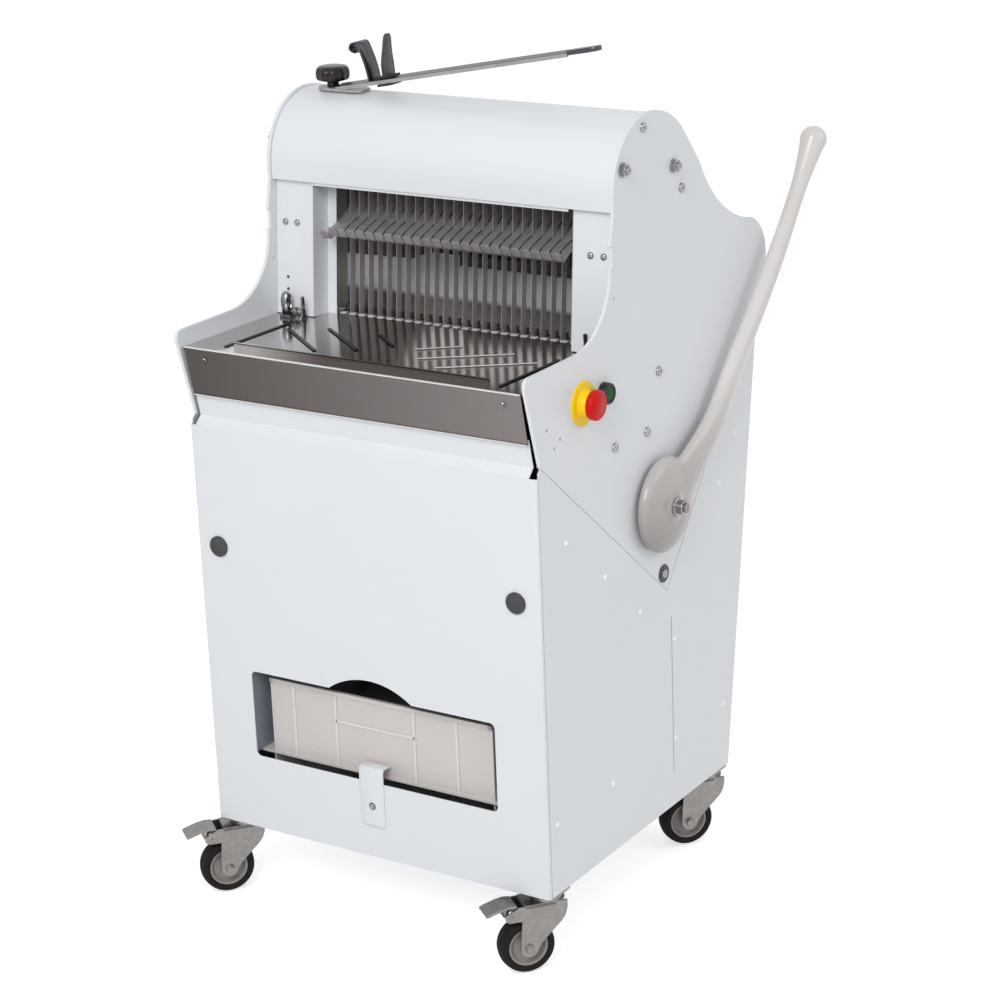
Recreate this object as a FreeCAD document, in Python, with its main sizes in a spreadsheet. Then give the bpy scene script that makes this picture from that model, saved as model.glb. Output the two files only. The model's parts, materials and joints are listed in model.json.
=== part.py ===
import FreeCAD, Part
import math
import os

import Sketcher

# Floor-standing bread slicer: a white sheet-steel cabinet on castors, a tilted head with two blade
# frames driven by a crank, a hand lever on the right that pushes the loaf through the blades, and a
# polished table in front. X runs to the right, Y to the back and Z up, in millimetres. The origin is
# on the floor under the middle of the cabinet's base.

os.makedirs("parts", exist_ok=True)
doc = FreeCAD.newDocument("bread_slicer")
sheet = doc.addObject("Spreadsheet::Sheet", "Sizes")

sizes = {
    # cabinet
    "cabinet_width": 565, "cabinet_depth": 511, "ground_gap": 116, "bend_drop": 45,
    "sheet_gauge": 1.5, "pan_gauge": 2, "pan_rim": 30, "rear_lean": 8.8, "seam": 2,
    "vee_back": 80, "vee_height": 452, "shoulder_drop": 33, "shoulder_back": 243,
    # tray opening, crumb tray and the clip in front of it
    "mouth_width": 408, "mouth_base": 230, "mouth_height": 130, "mouth_corner": 8,
    "notch_width": 141, "notch_rise": 23, "tray_width": 374, "tray_length": 405, "tray_setback": 17.5,
    "tray_height": 92, "tray_wall": 3, "shelf_height": 27.6, "shelf_drop": 3.6, "ledge_gauge": 7.3,
    "ledge_reach": 28, "slide_gap": 0.3,
    "clip_width": 41, "clip_foot": 163, "clip_reach": 17, "clip_gauge": 2, "clip_screw": 193,
    "cap_radius": 15, "cap_thickness": 4, "cap_spacing": 491, "cap_height": 540.5,
    # upper side plates
    "plate_gauge": 5, "nose_top": 853, "nose_reach": 274, "window_edge": 53, "hood_base": 1018,
    "crown_middle": 56, "crown_front_radius": 99, "crown_back_radius": 125,
    "crown_top": 1136, "crown_turn": 50, "wing_height": 932, "wing_back": 346, "wing_end": 389,
    "wing_end_height": 868, "wing_lip": 22, "wing_lip_gauge": 3,
    # head
    "head_tilt": 5, "head_front": 46.5, "head_base": 830, "window_width": 427, "post_depth": 36,
    "post_flange": 14.5, "post_height": 188, "hood_inset": 3, "hood_lip": 14,
    # table, apron and bed
    "table_front_height": 829, "table_rear_height": 823, "table_rear_edge": 4, "table_gauge": 1.5,
    "apron_top_reach": 268, "apron_foot_reach": 254, "apron_drop": 70.5, "apron_width": 543,
    "apron_screw": 241.3,
    "stop_width": 414, "stop_height": 9, "bed_height": 823, "bed_front": 20, "bed_back": 358,
    # blades and their frames
    "blade_pitch": 16, "blade_count": 24, "blade_width": 13, "blade_gauge": 0.6, "blade_line": 55,
    "bar_depth": 24, "bar_height": 30, "bar_gap": 2.5, "top_bar": 240, "low_bar": -60,
    "stile_width": 12, "stile_gap": 2, "hook_width": 8, "hook_height": 26,
    "rod_radius": 8, "rod_offset": 26.5, "fit_gap": 0.05, "cross_gauge": 6, "cross_top": 276,
    "cross_foot": -110, "cross_depth": 94, "cross_window": 260,
    # crank drive
    "crank_drop": -300, "crank_throw": 15, "crank_shaft_radius": 12, "crank_disc_radius": 34,
    "crank_disc_gauge": 10, "crank_disc_spacing": 180, "crank_pin_radius": 9, "pin_gap": 0.5,
    "rod_gauge": 12, "big_end_radius": 20, "small_end_radius": 13, "small_pin_radius": 7,
    "small_pin_drop": -92, "clevis_gauge": 5.5, "crank_pulley_radius": 56, "pulley_width": 24,
    "beam_depth": 50, "beam_gauge": 12, "beam_drop": -396, "pedestal_spacing": 110,
    "pedestal_width": 20, "motor_back": 130, "motor_height": 440, "motor_radius": 55,
    "motor_length": 170, "motor_pulley_radius": 28, "motor_shaft_radius": 9, "shelf_gauge": 6,
    "belt_gauge": 5, "belt_width": 16,
    # hold-down fingers
    "finger_width": 11, "finger_gauge": 1, "finger_rod_radius": 5, "finger_rod_back": 98,
    "finger_rod_height": 178,
    # hand lever and pusher
    "pivot_back": 58, "pivot_height": 588, "lever_shaft_radius": 10, "hub_radius": 68,
    "hub_gap": 4.5, "hub_gauge": 24, "hub_boss_radius": 19, "hub_boss": 3, "pin_reach": 47,
    "pin_radius": 7, "grip_radius": 19, "drive_arm": 100, "drive_arm_width": 24,
    "drive_arm_spacing": 300, "pusher_back": 300, "pusher_height": 107, "tine_width": 8,
    "tine_depth": 10, "pusher_base": 16, "pusher_depth": 30,
    # bag arm on the hood
    "arm_left": 227, "arm_back": 50, "arm_rise": 10.4, "arm_length": 440, "arm_width": 30,
    "arm_gauge": 4, "strip_height": 8, "strip_gauge": 2.5, "foot_length": 78, "knob_radius": 25,
    "knob_height": 24, "knob_stem_radius": 8.5, "knob_stem": 9, "tip_length": 50,
    "prong_height": 60, "prong_gauge": 2.5, "slider_length": 27,
    "prong_base": 60, "prong_bend": 181, "prong_sweep": 16, "curl_radius": 8,
    # controls
    "stop_back": -134, "button_back": -81.5, "controls_height": 785, "stop_plate_radius": 30.5,
    "stop_plate_gauge": 2, "stop_collar_radius": 17.8, "stop_collar": 12, "mushroom_radius": 20.5,
    "mushroom_height": 8.5, "stop_travel": 4, "bezel_radius": 14.8, "bezel_height": 12,
    "button_radius": 10,
    # fasteners
    "tie_radius": 6, "tie_reach": 11, "nut_radius": 10, "nut_height": 6, "bolt_radius": 6,
    "bolt_height": 4.5, "rivet_radius": 4, "rivet_height": 2, "latch_radius": 15,
    # castors
    "wheel_radius": 40, "wheel_width": 30, "hub_width": 26, "tyre_depth": 12, "castor_trail": 32,
    "castor_swivel": -39, "castor_side_inset": 24.5, "castor_end_inset": 29, "castor_plate": 48,
    "castor_plate_gauge": 4, "race_radius": 22, "race_height": 6, "fork_gauge": 2.5, "fork_gap": 2,
    "axle_radius": 4, "kingpin_radius": 6, "crown_gauge": 5, "pedal_length": 44, "pedal_width": 34,
    "pedal_gauge": 4,
}
for row, (alias, amount) in enumerate(sizes.items(), start=1):
    sheet.set(f"A{row}", alias)
    sheet.set(f"B{row}", str(amount))
    sheet.setAlias(f"B{row}", alias)
doc.recompute()


class Dim:
    """A length together with the expression that gives it."""

    def __init__(self, text, value):
        self.text = text
        self.value = float(value)

    def __float__(self):
        return self.value

    def __add__(self, other):
        other = dim(other)
        return Dim(f"({self.text} + {other.text})", self.value + other.value)

    def __sub__(self, other):
        other = dim(other)
        return Dim(f"({self.text} - {other.text})", self.value - other.value)

    def __mul__(self, other):
        other = dim(other)
        return Dim(f"({self.text} * {other.text})", self.value * other.value)

    def __truediv__(self, other):
        other = dim(other)
        return Dim(f"({self.text} / {other.text})", self.value / other.value)

    def __radd__(self, other):
        return dim(other) + self

    def __rsub__(self, other):
        return dim(other) - self

    def __rmul__(self, other):
        return dim(other) * self

    def __neg__(self):
        return Dim(f"(-1 * {self.text})", -self.value)


def dim(amount):
    return amount if isinstance(amount, Dim) else Dim(f"({float(amount)})", amount)


def size(alias):
    return Dim(f"Sizes.{alias}", sheet.get(alias))


def point(x, y, z):
    return FreeCAD.Vector(float(x), float(y), float(z))


nodes = []
along = {"X": point(1, 0, 0), "Y": point(0, 1, 0), "Z": point(0, 0, 1)}


def keep(thing):
    """Mark an object as a sub-part that gets a file of its own."""
    nodes.append(thing)
    return thing


def bind(thing, **amounts):
    for name, amount in amounts.items():
        thing.setExpression(name, dim(amount).text)


def box(label, x, y, z, length, width, height):
    thing = doc.addObject("Part::Box", label)
    bind(thing, Length=length, Width=width, Height=height)
    thing.Placement.Base = point(x, y, z)
    for name, amount in (("x", x), ("y", y), ("z", z)):
        thing.setExpression(f"Placement.Base.{name}", dim(amount).text)
    return thing


def bar(label, axis, x, y, z, length, radius):
    """A round bar that starts at x, y, z and runs along an axis."""
    thing = doc.addObject("Part::Cylinder", label)
    bind(thing, Height=length, Radius=radius)
    turn = FreeCAD.Rotation(along["Z"], along[axis])
    thing.Placement = FreeCAD.Placement(point(x, y, z), turn)
    for name, amount in (("x", x), ("y", y), ("z", z)):
        thing.setExpression(f"Placement.Base.{name}", dim(amount).text)
    return thing


def join(label, *things):
    thing = doc.addObject("Part::MultiFuse", label)
    thing.Shapes = list(things)
    return thing


def cut(label, base, *tools):
    thing = doc.addObject("Part::Cut", label)
    thing.Base = base
    thing.Tool = tools[0] if len(tools) == 1 else join(label + "_tools", *tools)
    return thing


def group(label, *things):
    thing = doc.addObject("Part::Compound", label)
    thing.Links = list(things)
    return thing


def solid(label, shape, placement=None):
    """A sub-part whose shape comes from curves that the sketches don't hold."""
    thing = doc.addObject("Part::Feature", label)
    thing.Shape = shape
    if placement is not None:
        thing.Placement = placement
    return thing


def plane_of(body, role):
    return [part for part in body.Origin.OriginFeatures if part.Role == role][0]


def loop(sketch, corners):
    """A closed polygon whose corners are bound to the sheet."""
    spots = [point(x, y, 0) for x, y in corners]
    first = sketch.GeometryCount
    count = len(spots)
    lines = [Part.LineSegment(spots[i], spots[(i + 1) % count]) for i in range(count)]
    sketch.addGeometry(lines, False)
    for i in range(count):
        sketch.addConstraint(Sketcher.Constraint("Coincident", first + i, 2, first + (i + 1) % count, 1))
    for i, (x, y) in enumerate(corners):
        for kind, amount in (("DistanceX", x), ("DistanceY", y)):
            item = sketch.addConstraint(Sketcher.Constraint(kind, -1, 1, first + i, 1, float(amount)))
            sketch.setExpression(f"Constraints[{item}]", dim(amount).text)


def ring(sketch, x, y, radius):
    """A circle whose centre and radius are bound to the sheet."""
    item = sketch.addGeometry(Part.Circle(point(x, y, 0), along["Z"], float(radius)), False)
    sketch.addConstraint(Sketcher.Constraint("Radius", item, float(radius)))
    sketch.setExpression(f"Constraints[{sketch.ConstraintCount - 1}]", dim(radius).text)
    for kind, amount in (("DistanceX", x), ("DistanceY", y)):
        spot = sketch.addConstraint(Sketcher.Constraint(kind, -1, 1, item, 3, float(amount)))
        sketch.setExpression(f"Constraints[{spot}]", dim(amount).text)


def slab(label, axis, low, thick, outline, holes=(), windows=()):
    """A plate of a polygon outline, padded along an axis from its low side."""
    body = doc.addObject("PartDesign::Body", label)
    sketch = body.newObject("Sketcher::SketchObject", label + "_outline")
    role = {"X": "YZ_Plane", "Y": "XZ_Plane", "Z": "XY_Plane"}[axis]
    sketch.AttachmentSupport = (plane_of(body, role), [""])
    sketch.MapMode = "FlatFace"
    start = -(dim(low) + thick) if axis == "Y" else dim(low)
    sketch.AttachmentOffset = FreeCAD.Placement(point(0, 0, start), FreeCAD.Rotation())
    sketch.setExpression("AttachmentOffset.Base.z", start.text)
    loop(sketch, outline)
    for hole in holes:
        ring(sketch, *hole)
    for window in windows:
        loop(sketch, window)
    pad = body.newObject("PartDesign::Pad", label + "_pad")
    pad.Profile = sketch
    bind(pad, Length=thick)
    sketch.Visibility = False
    return body


def turned(label, profile, placement):
    """A piece turned about its own Z axis from a profile of radius and height."""
    body = doc.addObject("PartDesign::Body", label)
    sketch = body.newObject("Sketcher::SketchObject", label + "_profile")
    sketch.AttachmentSupport = (plane_of(body, "XZ_Plane"), [""])
    sketch.MapMode = "FlatFace"
    loop(sketch, profile)
    spin = body.newObject("PartDesign::Revolution", label + "_turn")
    spin.Profile = sketch
    spin.ReferenceAxis = (sketch, ["V_Axis"])
    spin.Angle = 360
    body.Placement = placement
    return body


def oblong(x0, y0, x1, y1):
    return [(x0, y0), (x1, y0), (x1, y1), (x0, y1)]


def mirrored(outline):
    return [(-dim(x), y) for x, y in reversed(outline)]


half = size("cabinet_width") / 2
half_depth = size("cabinet_depth") / 2
gauge = size("sheet_gauge")
inner = half - size("plate_gauge")
panel_inner = half - gauge
slack = size("slide_gap")
fit = size("fit_gap")
base = size("ground_gap")
lean = math.tan(math.radians(float(size("rear_lean"))))
sides = (("left", -1), ("right", 1))
apron_top_height = size("table_front_height") + gauge
apron_foot_height = apron_top_height - size("apron_drop")
bend_height = apron_foot_height - size("bend_drop")
shoulder = apron_foot_height - size("shoulder_drop")


def rear_at(height):
    """How far back the cabinet's leaning rear edge is at a height."""
    return half_depth + (dim(height) - base) * lean


# ---- cabinet -------------------------------------------------------------------------------

pan_top = base + size("pan_gauge")
pan_length = size("cabinet_depth") - gauge * 2
pan_outer = box("pan_outer", -panel_inner, gauge - half_depth, base,
                panel_inner * 2, pan_length, size("pan_rim"))
pan_wall = size("pan_gauge")
pan_inner = box("pan_inner", pan_wall - panel_inner, gauge - half_depth + pan_wall, pan_top,
                (panel_inner - pan_wall) * 2, pan_length - pan_wall * 2, size("pan_rim"))
keep(cut("base_pan", pan_outer, pan_inner))

vee_back = size("vee_back")
vee_height = size("vee_height")
seam = size("seam")
wing_tip_height = size("wing_end_height") - 30
wing_tip_back = size("wing_end") - 9
vee_slope = (wing_tip_back - vee_back) / (wing_tip_height - vee_height)
meet_height = (rear_at(0) - vee_back + vee_slope * vee_height) / (vee_slope - lean) - seam * 2

side_outline = [
    (gauge - half_depth, base), (half_depth, base), (rear_at(meet_height), meet_height),
    (vee_back + seam, vee_height - seam * 2), (vee_back - seam * 2, vee_height - seam * 2),
    (gauge - half_depth, bend_height + 12),
]
keep(slab("left_side_panel", "X", -half, gauge, side_outline))
keep(slab("right_side_panel", "X", panel_inner, gauge, side_outline))

rear_top = size("bed_height") - size("table_gauge") - slack
rear_outline = [
    (rear_at(base) - gauge, base), (rear_at(base), base),
    (rear_at(rear_top), rear_top), (rear_at(rear_top) - gauge, rear_top),
]
rear_sheet = slab("rear_sheet", "X", slack - panel_inner, (panel_inner - slack) * 2, rear_outline)
rear_corners = [box(f"rear_corner_{side}", (inner - slack) * sign - (0 if sign > 0 else 10),
                    rear_at(rear_top) - 30, rear_top - 20, 10, 40, 30) for side, sign in sides]
keep(cut("rear_panel", rear_sheet, *rear_corners))


def strip_face(points, thick):
    """A thin folded strip in the YZ plane: a line of points and the same line one gauge inside."""
    inner_points = []
    for i, spot in enumerate(points):
        before = points[max(i - 1, 0)]
        after = points[min(i + 1, len(points) - 1)]
        first = (spot - before) if i else (after - spot)
        second = (after - spot) if i < len(points) - 1 else (spot - before)
        first.normalize()
        second.normalize()
        half_way = first + second
        half_way.normalize()
        side = point(0, half_way.z, -half_way.y)
        inner_points.append(spot + side * (thick / max(half_way.dot(first), 0.3)))
    ends = points + inner_points[::-1]
    return Part.Face(Part.makePolygon(ends + [ends[0]]))


def extrude_x(face, low, high):
    moved = face.copy()
    moved.translate(point(low, 0, 0))
    return moved.extrude(point(float(high) - float(low), 0, 0))


def front_panel_shape():
    """The folded front with its tray mouth: a rounded rectangle with a finger arc on top."""
    front = -float(half_depth)
    overlap = 6
    top = apron_foot_height.value + overlap
    apron_slope = ((size("apron_top_reach") - size("apron_foot_reach")) / size("apron_drop")).value
    tuck = -float(size("apron_foot_reach")) + 2 + gauge.value
    fold = [point(0, front, base), point(0, front, bend_height),
            point(0, -float(size("shoulder_back")), shoulder),
            point(0, tuck - apron_slope * overlap, top)]
    body = extrude_x(strip_face(fold, gauge.value), -half, half)
    collar_half = float(size("apron_width")) / 2
    for start in (-float(half) - 1, collar_half):
        body = body.cut(Part.makeBox(float(half) + 1 - collar_half, 60, 80,
                                     point(start, front - 10, bend_height)))
    side = float(size("mouth_width")) / 2
    low = float(size("mouth_base"))
    high = low + float(size("mouth_height"))
    reach = float(size("notch_width")) / 2
    rise = high + float(size("notch_rise"))
    mouth = Part.makeBox(side * 2, 20, high - low, point(-side, front - 10, low))
    upright = [edge for edge in mouth.Edges if abs(edge.BoundBox.YLength - 20) < 0.01]
    mouth = mouth.makeFillet(float(size("mouth_corner")), upright)
    arc = Part.Arc(point(-reach, front - 10, high - 1), point(0, front - 10, rise),
                   point(reach, front - 10, high - 1)).toShape()
    chord = Part.LineSegment(point(reach, front - 10, high - 1), point(-reach, front - 10, high - 1)).toShape()
    finger = Part.Face(Part.Wire([arc, chord])).extrude(point(0, 20, 0))
    return body.cut(mouth.fuse(finger))


keep(solid("front_panel", front_panel_shape()))

front_face = -half_depth
for side, sign in sides:
    centre = size("cap_spacing") / 2 * sign
    bar(f"{side}_cap", "Y", centre, front_face - size("cap_thickness"), size("cap_height"),
        size("cap_thickness"), size("cap_radius"))
keep(group("panel_caps", doc.getObject("left_cap"), doc.getObject("right_cap")))

tray_front = size("tray_setback") - half_depth
shelf_base = size("mouth_base") - size("shelf_drop")
shelf_top = shelf_base + size("shelf_height")
shelf_half = size("tray_width") / 2
rail = 12

shelf_ring = slab("shelf_ring", "Z", shelf_base, size("shelf_height"),
                  oblong(-shelf_half, tray_front, shelf_half, tray_front + size("tray_length")),
                  windows=[oblong(rail - shelf_half, tray_front + rail, shelf_half - rail,
                                  tray_front + size("tray_length") - rail)])
shelf_walls = [box(f"shelf_wall_{side}", shelf_half * sign - (0 if sign < 0 else 2), tray_front, pan_top,
                   2, size("tray_length"), shelf_base - pan_top) for side, sign in sides]
ledges = [box(f"shelf_ledge_{side}", shelf_half * sign - (size("ledge_reach") if sign < 0 else 0), tray_front,
              shelf_base, size("ledge_reach"), size("tray_length"), size("ledge_gauge")) for side, sign in sides]
keep(join("tray_shelf", shelf_ring, *shelf_walls, *ledges))

tray_wall = size("tray_wall")
tray_base = shelf_top + slack
tray_outer = box("tray_outer", -shelf_half, tray_front, tray_base,
                 size("tray_width"), size("tray_length"), size("tray_height"))
tray_inner = box("tray_inner", tray_wall - shelf_half, tray_front + tray_wall, tray_base + tray_wall,
                 size("tray_width") - tray_wall * 2, size("tray_length") - tray_wall * 2,
                 size("tray_height"))
keep(cut("crumb_tray", tray_outer, tray_inner))

clip_gauge = size("clip_gauge")
clip_top = shelf_top - 1
clip_outline = [
    (front_face - clip_gauge, size("clip_foot")), (front_face, size("clip_foot")),
    (front_face, clip_top - clip_gauge), (front_face + size("clip_reach"), clip_top - clip_gauge),
    (front_face + size("clip_reach"), clip_top), (front_face - clip_gauge, clip_top),
]
clip = slab("clip_strip", "X", -4 - size("clip_width") / 2, size("clip_width"), clip_outline)
clip_screw = bar("clip_screw_head", "Y", -4, front_face - clip_gauge - 2.5, size("clip_screw"), 3, 5.5)
keep(join("tray_clip", clip, clip_screw))

# ---- upper side plates ------------------------------------------------------------------------


def line(first, second):
    return Part.LineSegment(first, second).toShape()


def arc_about(centre_back, centre_height, radius, start, end):
    """An arc in the YZ plane, with its angles counted from +Y towards +Z."""
    spots = []
    for angle in (start, (start + end) / 2, end):
        turn = math.radians(angle)
        spots.append(point(0, centre_back + radius * math.cos(turn), centre_height + radius * math.sin(turn)))
    return Part.Arc(*spots).toShape(), spots[0], spots[2]


def crown(inset):
    """The round top of the head, from the hood's front edge over to where it turns down."""
    middle = float(size("crown_middle"))
    top = float(size("crown_top"))
    front_radius = float(size("crown_front_radius"))
    back_radius = float(size("crown_back_radius"))
    turn = 90 - float(size("crown_turn"))
    front, low, _ = arc_about(middle, top - front_radius, front_radius - inset, 180, 90)
    back, _, end = arc_about(middle, top - back_radius, back_radius - inset, 90, turn)
    foot = point(0, low.y, size("hood_base"))
    return [line(foot, low), front, back], foot, end


nose_back = -float(size("nose_reach"))
nose_top = float(size("nose_top"))
window_edge = -float(size("window_edge"))


def plate_outline():
    edges, hood_foot, crown_end = crown(0)
    low = point(0, -float(size("shoulder_back")), float(shoulder))
    front = point(0, nose_back, nose_top - 13)
    shelf = point(0, nose_back + 13, nose_top)
    sweep = point(0, window_edge - 97, nose_top)
    rise = point(0, window_edge, nose_top + 95)
    sweep_middle = point(0, window_edge - 97 + 97 * math.sin(0.76), nose_top + 97 * (1 - math.cos(0.76)))
    fall = math.radians(float(size("crown_turn")))
    slope_end = crown_end + point(0, math.cos(fall), -math.sin(fall)) * 66
    wing = point(0, float(size("wing_back")), float(size("wing_height")))
    wing_middle = (slope_end + wing) * 0.5 - point(0, 12.5, 18)
    end = point(0, float(size("wing_end")), float(size("wing_end_height")))
    tip = point(0, float(wing_tip_back), float(wing_tip_height))
    vee = point(0, float(vee_back), float(vee_height))
    wires = [
        line(low, front), Part.Arc(front, front + point(0, 3, 9.5), shelf).toShape(), line(shelf, sweep),
        Part.Arc(sweep, sweep_middle, rise).toShape(), line(rise, rise + point(0, 4, 1)),
        line(rise + point(0, 4, 1), rise + point(0, 4, 27)), line(rise + point(0, 4, 27), rise + point(0, 1, 28)),
        line(rise + point(0, 1, 28), hood_foot), *edges, line(crown_end, slope_end),
        Part.Arc(slope_end, wing_middle, wing).toShape(),
        Part.Arc(wing, point(0, wing.y + 29, wing.z - 22), end).toShape(),
        Part.Arc(end, point(0, end.y - 1.5, end.z - 16), tip).toShape(), line(tip, vee), line(vee, low),
    ]
    return Part.Face(Part.Wire(wires)), tip, vee


tie_spots = ((-17.9, 1071.9), (118.4, 1051.2))
bolt_spots = ((37.9, 1118.1), (139.9, 1016.8), (67.5, 776.1), (32.5, 698.9), (-54.6, 701.5))
pin_holes = ((-224.4, 772.7), (-192.8, 752.6), (-207.6, 743.6), (-47.5, 905))
latch_spot = (70.8, 480)


def side_plate_shape(sign):
    face, tip, vee = plate_outline()
    low, high = (inner, half) if sign > 0 else (-half, -inner)
    plate = extrude_x(face, low, high)
    run = tip - vee
    run.normalize()
    across = point(0, -run.z, run.y) * float(size("wing_lip_gauge"))
    start = vee + run * 70
    stop = vee + run * ((tip - vee).Length - 36)
    lip = Part.Face(Part.makePolygon([start, stop, stop + across, start + across, start]))
    lip_low, lip_high = (inner - size("wing_lip"), inner) if sign > 0 else (-inner, size("wing_lip") - inner)
    plate = plate.fuse(extrude_x(lip, lip_low, lip_high))
    bores = [(size("pivot_back"), size("pivot_height"), size("lever_shaft_radius") + fit)]
    bores += [(back, height, size("tie_radius") + fit) for back, height in tie_spots]
    bores += [(back, height, 2.2) for back, height in pin_holes]
    for back, height, radius in bores:
        spot = point(float(low) - 1, back, height)
        plate = plate.cut(Part.makeCylinder(float(radius), float(high) - float(low) + 2, spot, along["X"]))
    return plate.removeSplitter()


for side, sign in sides:
    keep(solid(f"{side}_side_plate", side_plate_shape(sign)))

# ---- head -------------------------------------------------------------------------------------

head = FreeCAD.Placement(point(0, -size("head_front"), size("head_base")),
                         FreeCAD.Rotation(along["X"], -float(size("head_tilt"))))


def hood_shape():
    """A curved sheet between the side plates, with a lip turned in along its front foot."""
    inset = float(size("hood_inset"))
    outer_edges, outer_foot, outer_end = crown(inset)
    inner_edges, inner_foot, inner_end = crown(inset + gauge.value)
    lip = float(size("hood_lip"))
    lip_low = outer_foot + point(0, lip, 0)
    lip_high = lip_low + point(0, 0, gauge.value)
    turn = inner_foot + point(0, 0, gauge.value)
    inner_wall = line(turn, inner_edges[0].Vertexes[1].Point)
    wire = outer_edges + [line(outer_end, inner_end)] + inner_edges[2:0:-1]
    wire += [inner_wall, line(turn, lip_high), line(lip_high, lip_low), line(lip_low, outer_foot)]
    reach = float(inner - slack)
    return extrude_x(Part.Face(Part.Wire(Part.__sortEdges__(wire))), -reach, reach)


keep(solid("hood", hood_shape()))

window = size("window_width") / 2
post_outline = [
    (inner - slack, 0), (inner - slack, gauge), (window + gauge, gauge),
    (window + gauge, size("post_depth") + gauge), (window - size("post_flange"), size("post_depth") + gauge),
    (window - size("post_flange"), size("post_depth")), (window, size("post_depth")), (window, 0),
]
for side, sign in sides:
    outline = post_outline if sign > 0 else mirrored(post_outline)
    post = keep(slab(f"{side}_front_post", "Z", 0, size("post_height"), outline))
    post.Placement = head

blade_line = size("blade_line")
half_blade = size("blade_width") / 2
bar_depth = size("bar_depth")
front_bar = blade_line - half_blade - size("bar_gap") - bar_depth / 2
rear_bar = blade_line + half_blade + size("bar_gap") + bar_depth / 2
stile_inner = window + gauge + size("stile_gap")
stile_outer = stile_inner + size("stile_width")
rod_side = window + size("rod_offset")
bar_half = rod_side + size("rod_radius") + 4

cross_back = blade_line + size("cross_depth") / 2
cross_front = blade_line - size("cross_depth") / 2
rod_holes = [(rod_side * sign, line_back, size("rod_radius") + fit)
             for side, sign in sides for line_back in (front_bar, rear_bar)]
cross_window = oblong(size("cross_window") / -2, cross_front + 10, size("cross_window") / 2, cross_back - 10)
top_cross = slab("top_crossmember", "Z", size("cross_top"), size("cross_gauge"),
                 oblong(slack - inner, cross_front + 12, inner - slack, cross_back - 8), rod_holes)
low_cross = slab("low_crossmember", "Z", size("cross_foot") - size("cross_gauge"), size("cross_gauge"),
                 oblong(slack - inner, cross_front, inner - slack, cross_back), rod_holes, [cross_window])
crossmembers = keep(group("crossmembers", top_cross, low_cross))
crossmembers.Placement = head

rod_low = size("cross_foot") - size("cross_gauge")
rods = [bar(f"guide_rod_{side}_{place}", "Z", rod_side * sign, line_back, rod_low,
            size("cross_top") + size("cross_gauge") - rod_low, size("rod_radius"))
        for side, sign in sides for place, line_back in (("front", front_bar), ("rear", rear_bar))]
guide_rods = keep(group("guide_rods", *rods))
guide_rods.Placement = head

pitch = size("blade_pitch")
half_row = (size("blade_count") - 1) / 2
disc_half = size("crank_disc_spacing") / 2
disc_outer = disc_half + size("crank_disc_gauge") / 2
rod_start = disc_outer + size("pin_gap") + 4.5
small_pin = size("small_pin_drop")


def row(first):
    """The X places of every second blade."""
    count = int(float(size("blade_count")))
    return [pitch * (dim(i) - half_row) for i in range(first, count, 2)]


def blade_frame(label, centre, first, sign):
    """One frame: two bars on the guide rods, two stiles, a clamp per blade end and the crank lug."""
    low = centre - bar_depth / 2
    bars = []
    for name, height in (("top", size("top_bar")), ("low", size("low_bar"))):
        holes = [(rod_side * side, centre, size("rod_radius") + fit) for side in (-1, 1)]
        outline = oblong(-bar_half, low, bar_half, low + bar_depth)
        bars.append(slab(f"{label}_{name}_bar", "Z", height - size("bar_height") / 2,
                         size("bar_height"), outline, holes))
    stile_low = size("low_bar") + size("bar_height") / 2
    stile_length = size("top_bar") - size("bar_height") / 2 - stile_low
    for side in (-1, 1):
        start = stile_inner if side > 0 else -stile_outer
        bars.append(box(f"{label}_stile_{'right' if side > 0 else 'left'}", start, low, stile_low,
                        size("stile_width"), bar_depth, stile_length))
    hook_length = size("blade_width") + size("bar_gap")
    hook_start = low + bar_depth if centre.value < blade_line.value else low - hook_length
    for i, x in enumerate(row(first)):
        for name, height in (("top", size("top_bar")), ("low", size("low_bar"))):
            hook = box(f"{label}_{name}_hook_{i}", x - size("hook_width") / 2, hook_start,
                       height - size("hook_height") / 2, size("hook_width"), hook_length, size("hook_height"))
            bars.append(hook)
    lug_high = size("low_bar") - size("bar_height") / 2
    lug_low = small_pin - size("small_pin_radius") - 4
    ears = [rod_start - 0.5 - size("clevis_gauge"), rod_start + size("rod_gauge") + 0.5]
    for i, ear in enumerate(ears):
        start = ear if sign > 0 else -ear - size("clevis_gauge")
        bars.append(box(f"{label}_ear_{i}", start, centre - 10, lug_low, size("clevis_gauge"), 20,
                        lug_high - lug_low))
    pin_low = ears[0] if sign > 0 else -ears[1] - size("clevis_gauge")
    pin_length = ears[1] - ears[0] + size("clevis_gauge")
    bars.append(bar(f"{label}_lug_pin", "X", pin_low, centre, small_pin, pin_length, size("small_pin_radius")))
    whole = join(f"{label}_whole", *bars)
    slots = [box(f"{label}_slot_{i}", x - size("blade_gauge") / 2, blade_line - half_blade,
                 size("low_bar") - size("hook_height") / 2 - 1, size("blade_gauge"), size("blade_width"),
                 size("top_bar") - size("low_bar") + size("hook_height") + 2)
             for i, x in enumerate(row(first))]
    frame = keep(cut(label, whole, *slots))
    frame.Placement = head


def blade_set(label, first):
    blades = [box(f"{label}_{i}", x - size("blade_gauge") / 2, blade_line - half_blade,
                  size("low_bar") - size("hook_height") / 2, size("blade_gauge"), size("blade_width"),
                  size("top_bar") - size("low_bar") + size("hook_height"))
              for i, x in enumerate(row(first))]
    keep(group(label, *blades)).Placement = head


blade_frame("front_blade_frame", front_bar, 0, -1)
blade_frame("rear_blade_frame", rear_bar, 1, 1)
blade_set("front_blades", 0)
blade_set("rear_blades", 1)

# ---- crank drive -------------------------------------------------------------------------------

crank_drop = size("crank_drop")
throw = size("crank_throw")
disc_gauge = size("crank_disc_gauge")


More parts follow.
